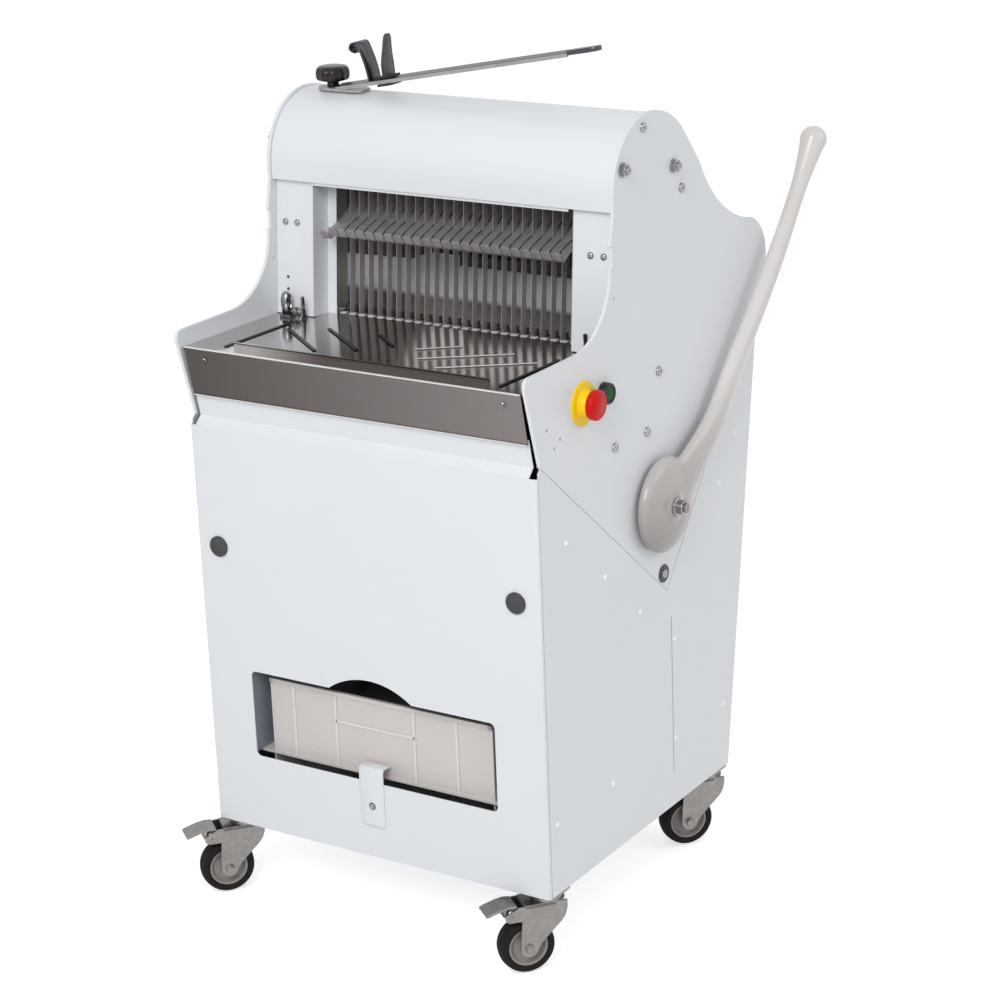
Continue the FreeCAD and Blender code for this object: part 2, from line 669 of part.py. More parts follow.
def crankshaft_pieces():
    """A shaft with a pulley in the middle and a disc with a stub pin at each end."""
    pieces = [bar("crank_shaft_bar", "X", -disc_half, blade_line, crank_drop, disc_half * 2,
                  size("crank_shaft_radius"))]
    pieces.append(bar("crank_pulley", "X", size("pulley_width") / -2, blade_line, crank_drop,
                      size("pulley_width"), size("crank_pulley_radius")))
    for side, sign in sides:
        start = disc_half * sign - disc_gauge / 2
        pieces.append(bar(f"crank_disc_{side}", "X", start, blade_line, crank_drop, disc_gauge,
                          size("crank_disc_radius")))
        pin_start = disc_outer * sign if sign > 0 else -disc_outer - 4.5
        pieces.append(bar(f"crank_pin_{side}", "X", pin_start, blade_line + throw * sign, crank_drop, 4.5,
                          size("crank_pin_radius")))
    return pieces


crankshaft = keep(join("crankshaft", *crankshaft_pieces()))
crankshaft.Placement = head


def conrod(label, sign, lug_back):
    """A flat rod from the frame's lug pin down to beside the crank pin."""
    thick = float(size("rod_gauge"))
    start = float(rod_start) if sign > 0 else -float(rod_start) - thick
    small = point(start, lug_back, small_pin)
    big = point(start, float(blade_line) + float(throw) * sign, crank_drop)
    eye = Part.makeCylinder(float(size("small_end_radius")), thick, small, along["X"])
    foot = Part.makeCylinder(float(size("big_end_radius")), thick, big, along["X"])
    run = big - small
    across = point(0, -run.z, run.y)
    across.normalize()
    across = across * 8
    web = Part.Face(Part.makePolygon([small + across, big + across, big - across, small - across,
                                      small + across])).extrude(point(thick, 0, 0))
    body = eye.fuse([foot, web])
    body = body.cut(Part.makeCylinder(float(size("small_pin_radius")) + fit.value, thick, small, along["X"]))
    body = body.cut(Part.makeCylinder(float(size("crank_pin_radius")) + 0.3, thick, big, along["X"]))
    keep(solid(label, body.removeSplitter(), head))


conrod("front_conrod", -1, front_bar)
conrod("rear_conrod", 1, rear_bar)

beam_low = size("beam_drop")
beam = box("drive_beam", slack - panel_inner, blade_line - size("beam_depth") / 2, beam_low,
           (panel_inner - slack) * 2, size("beam_depth"), size("beam_gauge"))
pedestals = []
for side, sign in sides:
    start = size("pedestal_spacing") / 2 * sign - size("pedestal_width") / 2
    pedestals.append(slab(f"pedestal_{side}", "X", start, size("pedestal_width"),
                          oblong(blade_line - 20, beam_low + size("beam_gauge"), blade_line + 20, crank_drop + 26),
                          [(blade_line, crank_drop, size("crank_shaft_radius") + fit)]))
crank_bearings = join("crank_bearings", beam, *pedestals)
crank_bearings.Placement = head

motor_back = size("motor_back")
motor_height = size("motor_height")
shelf_level = motor_height - size("motor_radius") - 5 - size("shelf_gauge")
motor_shelf = box("motor_shelf", slack - panel_inner, motor_back - 60, shelf_level,
                  (panel_inner - slack) * 2, 120, size("shelf_gauge"))
keep(group("drive_support", crank_bearings, motor_shelf))
motor_start = size("pulley_width") / 2 + 18
keep(join("motor",
          bar("motor_case", "X", motor_start, motor_back, motor_height, size("motor_length"),
              size("motor_radius")),
          box("motor_foot", motor_start + 20, motor_back - 45, shelf_level + size("shelf_gauge"),
              size("motor_length") - 40, 90, 20)))
keep(join("motor_pulley",
          bar("motor_wheel", "X", size("pulley_width") / -2, motor_back, motor_height,
              size("pulley_width"), size("motor_pulley_radius")),
          bar("motor_stub", "X", size("pulley_width") / -2, motor_back, motor_height,
              size("pulley_width") + 17.7, size("motor_shaft_radius"))))


def belt_shape():
    """An open belt round both pulleys, 0.3 mm clear of them."""
    top_pulley = head.multVec(point(0, blade_line, crank_drop))
    low_pulley = point(0, motor_back, motor_height)
    run = low_pulley - top_pulley
    reach = run.Length
    heading = math.atan2(run.z, run.y)
    big = float(size("crank_pulley_radius")) + slack.value
    small = float(size("motor_pulley_radius")) + slack.value
    wrap = math.acos((big - small) / reach)

    def outline(extra):
        spots = []
        for centre, radius in ((top_pulley, big + extra), (low_pulley, small + extra)):
            spots += [centre + point(0, math.cos(heading + turn), math.sin(heading + turn)) * radius
                      for turn in (wrap, -wrap)]
        far = top_pulley - point(0, math.cos(heading), math.sin(heading)) * (big + extra)
        near = low_pulley + point(0, math.cos(heading), math.sin(heading)) * (small + extra)
        return Part.Face(Part.Wire([Part.Arc(spots[0], far, spots[1]).toShape(), line(spots[1], spots[3]),
                                    Part.Arc(spots[3], near, spots[2]).toShape(), line(spots[2], spots[0])]))

    side = float(size("belt_width")) / 2
    return extrude_x(outline(float(size("belt_gauge"))), -side, side).cut(extrude_x(outline(0), -side, side))


keep(solid("drive_belt", belt_shape()))

# ---- table, apron and bed -----------------------------------------------------------------------

table_rear = -float(size("table_rear_edge"))
table_front = -float(size("apron_top_reach")) + gauge.value * 2
table_gauge = float(size("table_gauge"))


def table_drop(back):
    """The height of the table's top at a place along Y."""
    share = (back - table_rear) / (table_front - table_rear)
    front, rear = float(size("table_front_height")), float(size("table_rear_height"))
    return rear + (front - rear) * share


def slot_cutter(x0, y0, x1, y1, width):
    start = point(x0, y0, 700)
    run = point(x1, y1, 700) - start
    across = point(-run.y, run.x, 0)
    across.normalize()
    across = across * (width / 2)
    face = Part.Face(Part.makePolygon([start + across, start + run + across, start + run - across,
                                       start - across, start + across]))
    return face.extrude(point(0, 0, 300))


def table_shape():
    """The polished outfeed table: slotted, notched for the blades and open for the frame stiles."""
    wide = float(inner - slack)
    narrow = float(window)
    step_back = -32
    top = [point(-wide, table_front, 0), point(wide, table_front, 0), point(wide, step_back, 0),
           point(narrow, step_back, 0), point(narrow, table_rear, 0), point(-narrow, table_rear, 0),
           point(-narrow, step_back, 0), point(-wide, step_back, 0)]
    for spot in top:
        spot.z = table_drop(spot.y)
    plate = Part.Face(Part.makePolygon(top + [top[0]])).extrude(point(0, 0, -table_gauge))
    cutters = []
    for sign in (-1, 1):
        for x0, y0, x1, y1 in ((98, -202, 205, -118), (50, -172, 153, -93), (18, -132, 68, -90)):
            cutters.append(slot_cutter(x0 * sign, y0, x1 * sign, y1, 5))
        cutters.append(slot_cutter(223 * sign, -240, 223 * sign, -92, 2))
    for x in row(0) + row(1):
        cutters.append(Part.makeBox(5, 12, 60, point(x.value - 2.5, table_rear - 5, 800)))
    plate = plate.cut(cutters)
    stop_half = float(size("stop_width")) / 2
    stop_back = -240
    stop = Part.makeBox(stop_half * 2, 2, float(size("stop_height")),
                        point(-stop_half, stop_back, table_drop(stop_back) - 0.2))
    return plate.fuse(stop)


keep(solid("outfeed_table", table_shape()))


def apron_shape():
    """The stainless band across the front, leaning forward, with two screws."""
    top = point(0, -size("apron_top_reach"), apron_top_height)
    foot = point(0, -size("apron_foot_reach"), apron_foot_height)
    wide = float(size("apron_width")) / 2
    up = top - foot
    up.normalize()
    out = point(0, -up.z, up.y)
    band = [foot, top, top + point(0, 5, 0), top + point(0, 5, -1.2), top - up * 2 - out * gauge.value,
            foot - out * gauge.value]
    body = extrude_x(Part.Face(Part.makePolygon(band + [foot])), -wide, wide)
    for sign in (-1, 1):
        spot = foot + up * 53
        spot.x = float(size("apron_screw")) * sign
        body = body.fuse(Part.makeCylinder(4.5, 3, spot, out))
    return body


keep(solid("table_apron", apron_shape()))

bed_front = size("bed_front")
bed_outline = [
    (-window, bed_front), (window, bed_front), (window, bed_front + 28), (inner - slack, bed_front + 28),
    (inner - slack, size("bed_back")), (slack - inner, size("bed_back")),
    (slack - inner, bed_front + 28), (-window, bed_front + 28),
]
keep(slab("infeed_bed", "Z", size("bed_height") - size("table_gauge"), size("table_gauge"), bed_outline))


def latch_shape():
    """The small table latches: a chrome catch with a fin on the left and a black lever on the right."""
    back = -60
    level = table_drop(back) + slack.value + 0.2
    block = Part.makeBox(20, 14, 14, point(-262, back - 7, level))
    strap = Part.makeBox(8, 12, 34, point(-242, back - 6, level))
    knob = Part.makeCylinder(6.5, 30, point(-264, back, level + 22), along["X"])
    bolt = Part.makeCylinder(4, 14, point(-234, back, level + 8), along["X"])
    fin = Part.Face(Part.makePolygon([point(-223, back - 9, level), point(-223, back + 9, level),
                                      point(-223, back + 2, level + 33), point(-223, back - 2, level + 33),
                                      point(-223, back - 9, level)])).extrude(point(3, 0, 0))
    left = block.fuse([strap, knob, bolt, fin])
    lever = Part.makeCylinder(3, 32, point(244, back, level), along["Z"])
    return Part.makeCompound([left, lever.fuse(Part.makeCylinder(6, 5, point(244, back, level), along["Z"]))])


keep(solid("table_latches", latch_shape()))

# ---- hold-down fingers ----------------------------------------------------------------------------


def finger_shape():
    """Flat fingers on a cross rod behind the blades: forward between them, down, and up at the tip."""
    pivot = point(0, size("finger_rod_back"), size("finger_rod_height"))
    reach = ((-3, -1), (-26, -24), (-50, -40.5), (-73, -51), (-95, -64), (-107, -50))
    path = [pivot + point(0, back, height) for back, height in reach]
    face = strip_face(path, float(size("finger_gauge")))
    count = int(float(size("blade_count"))) + 1
    wide = float(size("finger_width")) / 2
    fingers = []
    for i in range(count):
        x = float(pitch) * (i - (count - 1) / 2)
        fingers.append(extrude_x(face, x - wide, x + wide))
    length = float(inner - slack) * 2
    start = pivot - point(length / 2, 0, 0)
    rod = Part.makeCylinder(float(size("finger_rod_radius")), length, start, along["X"])
    return rod.fuse(fingers)


keep(solid("hold_down_fingers", finger_shape(), head))

# ---- hand lever and pusher --------------------------------------------------------------------------

pivot_back = size("pivot_back")
pivot_height = size("pivot_height")
shaft_radius = size("lever_shaft_radius")
hub_low = half + size("hub_gap")


def shaft_pieces():
    hub_face = hub_low + size("hub_gauge") + size("hub_boss")
    pieces = [bar("lever_bar", "X", -half, pivot_back, pivot_height, half + hub_face, shaft_radius)]
    pieces.append(bar("lever_pin", "X", hub_face, pivot_back, pivot_height, half + size("pin_reach") - hub_face,
                      size("pin_radius")))
    for side, sign in sides:
        start = size("drive_arm_spacing") / 2 * sign - 5
        width = size("drive_arm_width")
        boss = bar(f"drive_boss_{side}", "X", start, pivot_back, pivot_height, 10, shaft_radius + 8)
        arm = box(f"drive_arm_{side}", start, pivot_back - width / 2, pivot_height, 10, width, size("drive_arm"))
        pieces += [boss, arm]
    return pieces


keep(join("lever_shaft", *shaft_pieces()))


def lever_shape():
    """A cast hand lever: a domed hub disc, an oval arm that leans outwards and a round grip."""
    centre = point(hub_low, pivot_back, pivot_height)
    radius = float(size("hub_radius"))
    thick = float(size("hub_gauge"))
    boss = float(size("hub_boss_radius"))
    rise = thick + float(size("hub_boss"))
    profile = [line(point(0, 0, 0), point(0, radius - 3, 0)),
               Part.Arc(point(0, radius - 3, 0), point(3, radius, 0), point(7, radius, 0)).toShape(),
               Part.Arc(point(7, radius, 0), point(15, radius - 7, 0), point(thick - 3, radius - 24, 0)).toShape(),
               line(point(thick - 3, radius - 24, 0), point(thick, boss, 0)),
               line(point(thick, boss, 0), point(rise, boss, 0)), line(point(rise, boss, 0), point(rise, 0, 0)),
               line(point(rise, 0, 0), point(0, 0, 0))]
    hub = Part.Face(Part.Wire(profile)).revolve(point(0, 0, 0), along["X"], 360)
    hub.translate(centre)
    # place on the arm's centre line (out, back, up from the pivot), half width and half thickness
    stations = ((12, 18, 10, 24, 10), (13, 70, 44, 23, 11), (14.5, 130, 86, 19, 12), (16.5, 195, 157, 17, 12),
                (19.5, 263, 229.5, 16.5, 12), (22.5, 316, 292, 14.5, 11.5), (26.5, 370, 367.5, 12.5, 11),
                (28, 395, 402, 15, 14.5), (29.5, 417, 435, 19, 19))
    spots = [centre + point(out, back, up) for out, back, up, wide, deep in stations]
    wires = []
    for i, (spot, station) in enumerate(zip(spots, stations)):
        run = spots[min(i + 1, len(spots) - 1)] - spots[max(i - 1, 0)]
        run.x = 0
        run.normalize()
        across = point(0, -run.z, run.y)
        oval = Part.Ellipse(spot + across * station[3], spot + along["X"] * station[4], spot) \
            if station[3] > station[4] + 0.01 else Part.Circle(spot, run, station[3])
        wires.append(Part.Wire(oval.toShape()))
    arm = Part.makeLoft(wires, True, False)
    grip = Part.makeSphere(float(size("grip_radius")), spots[-1])
    body = hub.fuse([arm, grip])
    bore = Part.makeCylinder(float(shaft_radius) + fit.value, rise + 2, centre - point(1, 0, 0), along["X"])
    return body.cut(bore)


keep(solid("hand_lever", lever_shape()))

pusher_back = size("pusher_back")
pusher_low = size("bed_height") + slack
pusher_top = pusher_low + size("pusher_height")
pusher_half = pitch * half_row + 8
tine_depth = size("tine_depth")
pusher_pieces = [
    box("pusher_base_bar", -pusher_half, pusher_back, pusher_low, pusher_half * 2, size("pusher_depth"),
        size("pusher_base")),
    box("pusher_top_bar", -pusher_half, pusher_back + tine_depth, pusher_top - size("pusher_base"),
        pusher_half * 2, 8, size("pusher_base")),
]
for i in range(int(float(size("blade_count"))) - 1):
    x = pitch * (dim(i + 1) - half_row - 0.5)
    pusher_pieces.append(box(f"tine_{i}", x - size("tine_width") / 2, pusher_back, pusher_low,
                             size("tine_width"), tine_depth, size("pusher_height")))
keep(join("pusher_comb", *pusher_pieces))

# ---- fasteners on the plates and panels ------------------------------------------------------------------


def hexagon(radius, height, spot, outward):
    corners = [spot + point(0, radius * math.cos(math.pi / 3 * i), radius * math.sin(math.pi / 3 * i))
               for i in range(7)]
    return Part.Face(Part.makePolygon(corners)).extrude(point(float(height) * outward, 0, 0))


def tie_shape():
    """Two cross rods between the side plates, each with a nut outside at both ends."""
    reach = float(half + size("tie_reach"))
    pieces = []
    for back, height in tie_spots:
        rod = Part.makeCylinder(float(size("tie_radius")), reach * 2, point(-reach, back, height), along["X"])
        nuts = [hexagon(float(size("nut_radius")), size("nut_height"), point(float(half) * sign, back, height), sign)
                for side, sign in sides]
        pieces.append(rod.fuse(nuts))
    return Part.makeCompound(pieces)


keep(solid("tie_rods", tie_shape()))


def bolt_shape():
    """Hexagon heads on both plates and the round latch washer below the lever."""
    pieces = []
    for side, sign in sides:
        for back, height in bolt_spots:
            pieces.append(hexagon(float(size("bolt_radius")), size("bolt_height"),
                                  point(float(half) * sign, back, height), sign))
        washer = Part.makeCylinder(float(size("latch_radius")), 2, point(float(half) * sign, *latch_spot),
                                   along["X"] * sign)
        head_screw = Part.makeCylinder(5, 3, point((float(half) + 2) * sign, *latch_spot), along["X"] * sign)
        pieces.append(washer.fuse(head_screw))
    return Part.makeCompound(pieces)


keep(solid("plate_bolts", bolt_shape()))


def rivet_shape():
    """Domed rivet heads on the two side panels."""
    spots = ((-186.7, 607), (-88.5, 527.3), (4.1, 445), (98.6, 371.6), (97.1, 219.3), (-81.9, 218.9),
             (-229.9, 218.8), (283.6, 626.1), (236.6, 564.3), (241.2, 217.1))
    pieces = []
    for side, sign in sides:
        for back, height in spots:
            pieces.append(Part.makeCone(float(size("rivet_radius")), float(size("rivet_radius")) / 2,
                                        float(size("rivet_height")), point(float(half) * sign, back, height),
                                        along["X"] * sign))
    return Part.makeCompound(pieces)


keep(solid("panel_rivets", rivet_shape()))

# ---- bag arm on the hood --------------------------------------------------------------------------------

arm_left = -size("arm_left")
arm_back = size("arm_back")
hood_crest = size("crown_top") - size("hood_inset")
foot_low = hood_crest + slack
arm_gauge = size("arm_gauge")
arm_turn = FreeCAD.Rotation(along["Y"], -float(size("arm_rise")))
arm_frame = FreeCAD.Placement(point(arm_left + 14, arm_back, foot_low + arm_gauge - 0.2), arm_turn)
arm_wide = float(size("arm_width"))


def ribbon(bends, thick):
    """A bent strip in the XZ plane from arcs of centre x, centre z, radius, start and end angle."""
    lanes = []
    for radius_change in (thick / 2, -thick / 2):
        lane = []
        for x, z, radius, start, end in bends:
            reach = radius + radius_change
            turns = [math.radians(angle) for angle in (start, (start + end) / 2, end)]
            spots = [point(x + reach * math.cos(turn), 0, z + reach * math.sin(turn)) for turn in turns]
            lane.append(spots)
        lanes.append(lane)
    outer, inner_lane = lanes
    edges = [Part.Arc(*spots).toShape() for spots in outer + inner_lane]
    edges += [line(outer[0][0], inner_lane[0][0]), line(outer[-1][2], inner_lane[-1][2])]
    return Part.Face(Part.Wire(Part.__sortEdges__(edges)))


def bag_arm_shape():
    """A flat foot on the hood, a rising flat bar with a sleeve at its tip and a curled spring strip."""
    foot = Part.makeBox(float(size("foot_length")), arm_wide + 4, arm_gauge.value,
                        point(arm_left - 22, float(arm_back) - arm_wide / 2 - 2, foot_low))
    hole = Part.makeCylinder(5 + fit.value, 40, point(arm_left, arm_back, float(foot_low) - 10), along["Z"])
    length = float(size("arm_length"))
    wide = arm_wide / 2
    high = float(size("strip_height"))
    fold = float(size("strip_gauge"))
    section = [point(0, -wide, 0), point(0, -wide, high / 2), point(0, wide, high), point(0, wide, high - fold),
               point(0, fold - wide, high / 2 - fold), point(0, fold - wide, 0)]
    strip = extrude_x(Part.Face(Part.makePolygon(section + [section[0]])), 0, length)
    tip = Part.makeBox(float(size("tip_length")), arm_wide + 2, high - 1.5,
                       point(length - float(size("tip_length")), -wide - 1, 2))
    foot_x, bend = float(size("prong_base")), float(size("prong_bend"))
    sweep, curl_radius = float(size("prong_sweep")), float(size("curl_radius"))
    turn = math.radians(sweep)
    centre_x = foot_x - bend + (bend - curl_radius) * math.cos(turn)
    centre_z = 3 + (bend - curl_radius) * math.sin(turn)
    curl = ribbon([(foot_x - bend, 3, bend, 0, sweep), (centre_x, centre_z, curl_radius, sweep, 240)],
                  float(size("prong_gauge"))).extrude(point(0, arm_wide, 0))
    curl.translate(point(0, -arm_wide / 2, 0))
    rising = strip.fuse([tip, curl])
    rising.Placement = arm_frame
    return foot.fuse(rising).cut(hole)


keep(solid("bag_arm", bag_arm_shape()))

knob_low = foot_low + arm_gauge + slack
knob_radius = size("knob_radius")
stem = size("knob_stem")
knob_top = stem + size("knob_height")
knob_place = FreeCAD.Placement(point(arm_left, arm_back, knob_low), FreeCAD.Rotation())
knob_profile = [
    (0, -3.9), (5, -3.9), (5, 0), (size("knob_stem_radius"), 0), (size("knob_stem_radius"), stem),
    (knob_radius - 5, stem), (knob_radius - 1.4, stem + 3), (knob_radius, stem + 7),
    (knob_radius, knob_top - 8), (knob_radius - 2, knob_top - 3), (knob_radius - 7, knob_top), (0, knob_top),
]
keep(turned("clamp_knob", knob_profile, knob_place))


def slider_shape():
    """An upright strip on a collar that slides along the bar."""
    long = float(size("slider_length"))
    gap = slack.value
    start = 74
    wide = arm_wide / 2
    high = float(size("strip_height"))
    collar = Part.makeBox(long, arm_wide + 8, high + 8, point(start, -wide - 4, -4))
    tunnel = Part.makeBox(long, arm_wide + gap * 2, high + gap * 2, point(start, -wide - gap, -gap))
    window = Part.makeBox(long, 8, high - 1.5, point(start, -wide - 6, 0.5))
    tall = float(size("prong_height"))
    thick = float(size("prong_gauge"))
    face = Part.Face(Part.makePolygon([
        point(0, -wide, 0), point(0, wide, 0), point(0, wide, tall * 0.5), point(0, wide * 0.6, tall - 4),
        point(0, wide * 0.1, tall + 3), point(0, -wide * 0.6, tall), point(0, -wide, tall * 0.6),
        point(0, -wide, 0)]))
    upright = face.extrude(point(thick, 0, 0))
    upright.rotate(point(0, 0, 0), along["Y"], float(size("arm_rise")))
    upright.translate(point(start + long / 2 - 2, 0, high + 2))
    return collar.cut([tunnel, window]).fuse(upright)


keep(solid("sliding_prong", slider_shape(), arm_frame))

# ---- controls on the right plate ------------------------------------------------------------------------

outward = FreeCAD.Rotation(along["Z"], along["X"])
stop_place = FreeCAD.Placement(point(half, size("stop_back"), size("controls_height")), outward)
button_place = FreeCAD.Placement(point(half, size("button_back"), size("controls_height")), outward)
plate_rise = size("stop_plate_gauge")
collar_top = plate_rise + size("stop_collar")
stop_bore = 8
keep(turned("stop_collar", [
    (stop_bore, 0), (size("stop_plate_radius"), 0), (size("stop_plate_radius"), plate_rise),
    (size("stop_collar_radius"), plate_rise), (size("stop_collar_radius"), collar_top),
    (stop_bore, collar_top)], stop_place))
mushroom_low = collar_top + size("stop_travel") + 0.5
mushroom_top = mushroom_low + size("mushroom_height")
mushroom = size("mushroom_radius")
stem_start = size("stop_travel") + 1
keep(turned("stop_mushroom", [
    (0, stem_start), (stop_bore - 0.1, stem_start), (stop_bore - 0.1, mushroom_low),
    (mushroom - 6, mushroom_low), (mushroom, mushroom_low + 3), (mushroom, mushroom_top - 5), (mushroom - 3, mushroom_top - 1),
    (mushroom - 5, mushroom_top), (0, mushroom_top)], stop_place))
bezel_top = size("bezel_height")
button = size("button_radius")
keep(turned("start_bezel", [
    (button + fit * 2, 0), (size("bezel_radius"), 0), (size("bezel_radius"), bezel_top - 1.5),
    (size("bezel_radius") - 1.5, bezel_top), (button + fit * 2, bezel_top)], button_place))
keep(turned("start_button", [
    (0, 3), (button, 3), (button, bezel_top - 1.6), (button - 1, bezel_top - 0.8), (0, bezel_top - 0.4)],
    button_place))

# ---- castors ----------------------------------------------------------------------------------------------

trail = size("castor_trail")
wheel_radius = size("wheel_radius")
wheel_half = size("wheel_width") / 2
hub_half = size("hub_width") / 2
rim_radius = wheel_radius - size("tyre_depth")
race_low = base - size("castor_plate_gauge") - size("race_height")
crown_top = race_low - 0.5
crown_low = crown_top - size("crown_gauge")
leg_inner = wheel_half + size("fork_gap")
leg_outer = leg_inner + size("fork_gauge")
castor_side = half - size("castor_side_inset")
castor_end = half_depth - size("castor_end_inset")
castor_spots = [(f"{'front' if end < 0 else 'rear'}_{side}", castor_side * sign, castor_end * end)
                for end in (-1, 1) for side, sign in sides]


def castor_frame(x, y):
    return FreeCAD.Placement(point(x, y, 0), FreeCAD.Rotation(along["Z"], float(size("castor_swivel"))))


def castor_mount(name, x, y):
    """The fixed top plate, bearing race and headed kingpin."""
    plate = size("castor_plate")
    pieces = [
        box(f"{name}_top_plate", -plate / 2, -plate / 2, base - size("castor_plate_gauge"), plate, plate,
            size("castor_plate_gauge")),
        bar(f"{name}_race", "Z", 0, 0, race_low, size("race_height"), size("race_radius")),
        bar(f"{name}_kingpin", "Z", 0, 0, crown_low - 4, race_low - crown_low + 4, size("kingpin_radius")),
        bar(f"{name}_pin_head", "Z", 0, 0, crown_low - 4.5, 4, size("kingpin_radius") + 3),
    ]
    whole = join(f"{name}_mount", *pieces)
    whole.Placement = FreeCAD.Placement(point(x, y, 0), FreeCAD.Rotation())
    return whole


keep(group("castor_mounts", *[castor_mount(name, x, y) for name, x, y in castor_spots]))


def fork_shape():
    """A bent fork: the crown plate on the kingpin, two legs that sweep to the axle and the axle itself."""
    crown_plate = Part.makeBox(float(leg_outer) * 2, 62, float(size("crown_gauge")),
                               point(-float(leg_outer), -38, crown_low))
    bore = Part.makeCylinder(float(size("kingpin_radius")) + fit.value, 20, point(0, 0, float(crown_low) - 5),
                             along["Z"])
    axle = point(0, -float(trail), float(wheel_radius))
    top = float(crown_low)
    leg_line = [point(0, 22, top), point(0, 20, top - 12), point(0, -axle.y - 44, top - 26),
                axle + point(0, 11, 4), axle + point(0, 7, -9), axle + point(0, -7, -9), axle + point(0, -11, 4),
                point(0, -36, top - 22), point(0, -38, top)]
    leg = Part.Face(Part.makePolygon(leg_line + [leg_line[0]]))
    legs = [extrude_x(leg, leg_inner, leg_outer), extrude_x(leg, -leg_outer, -leg_inner)]
    reach = float(leg_outer) + 5
    pin = Part.makeCylinder(float(size("axle_radius")), reach * 2, axle - point(reach, 0, 0), along["X"])
    ends = [Part.makeCylinder(6.5, 4, axle + point(float(leg_outer) * sign, 0, 0), along["X"] * sign)
            for side, sign in sides]
    return crown_plate.cut(bore).fuse(legs + [pin] + ends)


def ring_profile(inside, outside, side, corner):
    return [(inside, -side), (outside - corner, -side), (outside, corner - side), (outside, side - corner),
            (outside - corner, side), (inside, side)]


def pedal_shape():
    """The brake pedal: a tread plate on a cross pin between the fork's cheeks."""
    wide = float(size("pedal_width")) / 2
    hinge = point(0, -50, float(crown_low) - 3)
    tread = [hinge + point(0, 2, 5), hinge + point(0, 2, 9), hinge + point(0, -8, 10),
             hinge + point(0, 2 - float(size("pedal_length")), 2),
             hinge + point(0, 2 - float(size("pedal_length")), 2 - float(size("pedal_gauge"))),
             hinge + point(0, -8, 5)]
    plate = extrude_x(Part.Face(Part.makePolygon(tread + [tread[0]])), -wide, wide)
    boss = Part.makeCylinder(5.2, wide * 2, hinge - point(wide, 0, 0), along["X"])
    web = Part.makeBox(wide * 2, 6, 7, hinge + point(-wide, -4, 0))
    return plate.fuse([boss, web])


for name, x, y in castor_spots:
    place = castor_frame(x, y)
    fork = fork_shape()
    if name.startswith("front"):
        cheek = Part.makeBox(2.5, 22, 14, point(0, -56, float(crown_low) - 9))
        for sign in (-1, 1):
            piece = cheek.copy()
            piece.translate(point((float(leg_outer) - 1.2) * sign - 1.25, 0, 0))
            fork = fork.fuse(piece)
    keep(solid(f"{name}_fork", fork, place))
    axle_place = place.multiply(FreeCAD.Placement(point(0, -trail, wheel_radius), outward))
    bore = size("axle_radius") + fit
    keep(turned(f"{name}_wheel", ring_profile(bore, rim_radius, hub_half, 2), axle_place))
    keep(turned(f"{name}_tyre", ring_profile(rim_radius, wheel_radius, wheel_half, 5), axle_place))
    if name.startswith("front"):
        keep(solid(f"{name}_pedal", pedal_shape(), place))

# ---- check and write ---------------------------------------------------------------------------------------

doc.recompute()
faults = [thing.Label for thing in doc.Objects if {"Invalid", "Error"} & set(thing.State)]
for thing in nodes:
    if thing.Shape.isNull() or not thing.Shape.isValid() or not thing.Shape.Solids:
        faults.append(thing.Label)
if faults:
    raise RuntimeError("failed objects: " + ", ".join(sorted(set(faults))))
for thing in nodes:
    thing.Shape.exportStep(f"parts/{thing.Label}.step")
print(len(nodes), "sub-parts written")
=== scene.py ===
import json
import math

import bmesh
import bpy
from mathutils import Matrix, Vector

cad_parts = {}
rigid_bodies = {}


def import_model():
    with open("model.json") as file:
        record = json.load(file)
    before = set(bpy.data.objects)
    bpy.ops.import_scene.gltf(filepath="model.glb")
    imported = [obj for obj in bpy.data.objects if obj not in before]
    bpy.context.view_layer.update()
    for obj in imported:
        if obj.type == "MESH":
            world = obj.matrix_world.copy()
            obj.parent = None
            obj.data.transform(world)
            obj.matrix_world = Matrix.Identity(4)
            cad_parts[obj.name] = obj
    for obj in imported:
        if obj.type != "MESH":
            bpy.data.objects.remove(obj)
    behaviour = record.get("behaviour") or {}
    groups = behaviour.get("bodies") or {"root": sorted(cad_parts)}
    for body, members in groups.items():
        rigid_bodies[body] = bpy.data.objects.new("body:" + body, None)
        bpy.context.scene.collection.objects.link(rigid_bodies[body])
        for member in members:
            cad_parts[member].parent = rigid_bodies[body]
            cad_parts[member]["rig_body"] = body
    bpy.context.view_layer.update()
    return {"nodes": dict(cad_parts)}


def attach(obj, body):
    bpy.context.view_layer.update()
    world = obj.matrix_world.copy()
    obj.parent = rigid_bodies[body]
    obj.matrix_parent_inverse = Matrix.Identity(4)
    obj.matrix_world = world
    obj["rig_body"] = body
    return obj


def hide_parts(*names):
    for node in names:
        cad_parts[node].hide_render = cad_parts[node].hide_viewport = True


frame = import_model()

# Lengths below are millimetres in the frame's own axes: X right, Y back, Z up.
mm = 0.001


def fromHex(text):
    channels = [int(text[i:i + 2], 16) / 255 for i in (1, 3, 5)]
    linear = [c / 12.92 if c <= 0.04045 else ((c + 0.055) / 1.055) ** 2.4 for c in channels]
    return (*linear, 1.0)


def addNode(tree, kind, settings=None, links=None):
    node = tree.nodes.new(kind)
    for name, value in (settings or {}).items():
        if isinstance(name, int) or name in node.inputs:
            node.inputs[name].default_value = value
        else:
            setattr(node, name, value)
    for name, source in (links or {}).items():
        tree.links.new(source, node.inputs[name])
    return node


def perMetre(millimetres):
    return 1000 / millimetres


finish = {}
spots = {"low": 0.45, "high": 0.62, "share": 0.5}


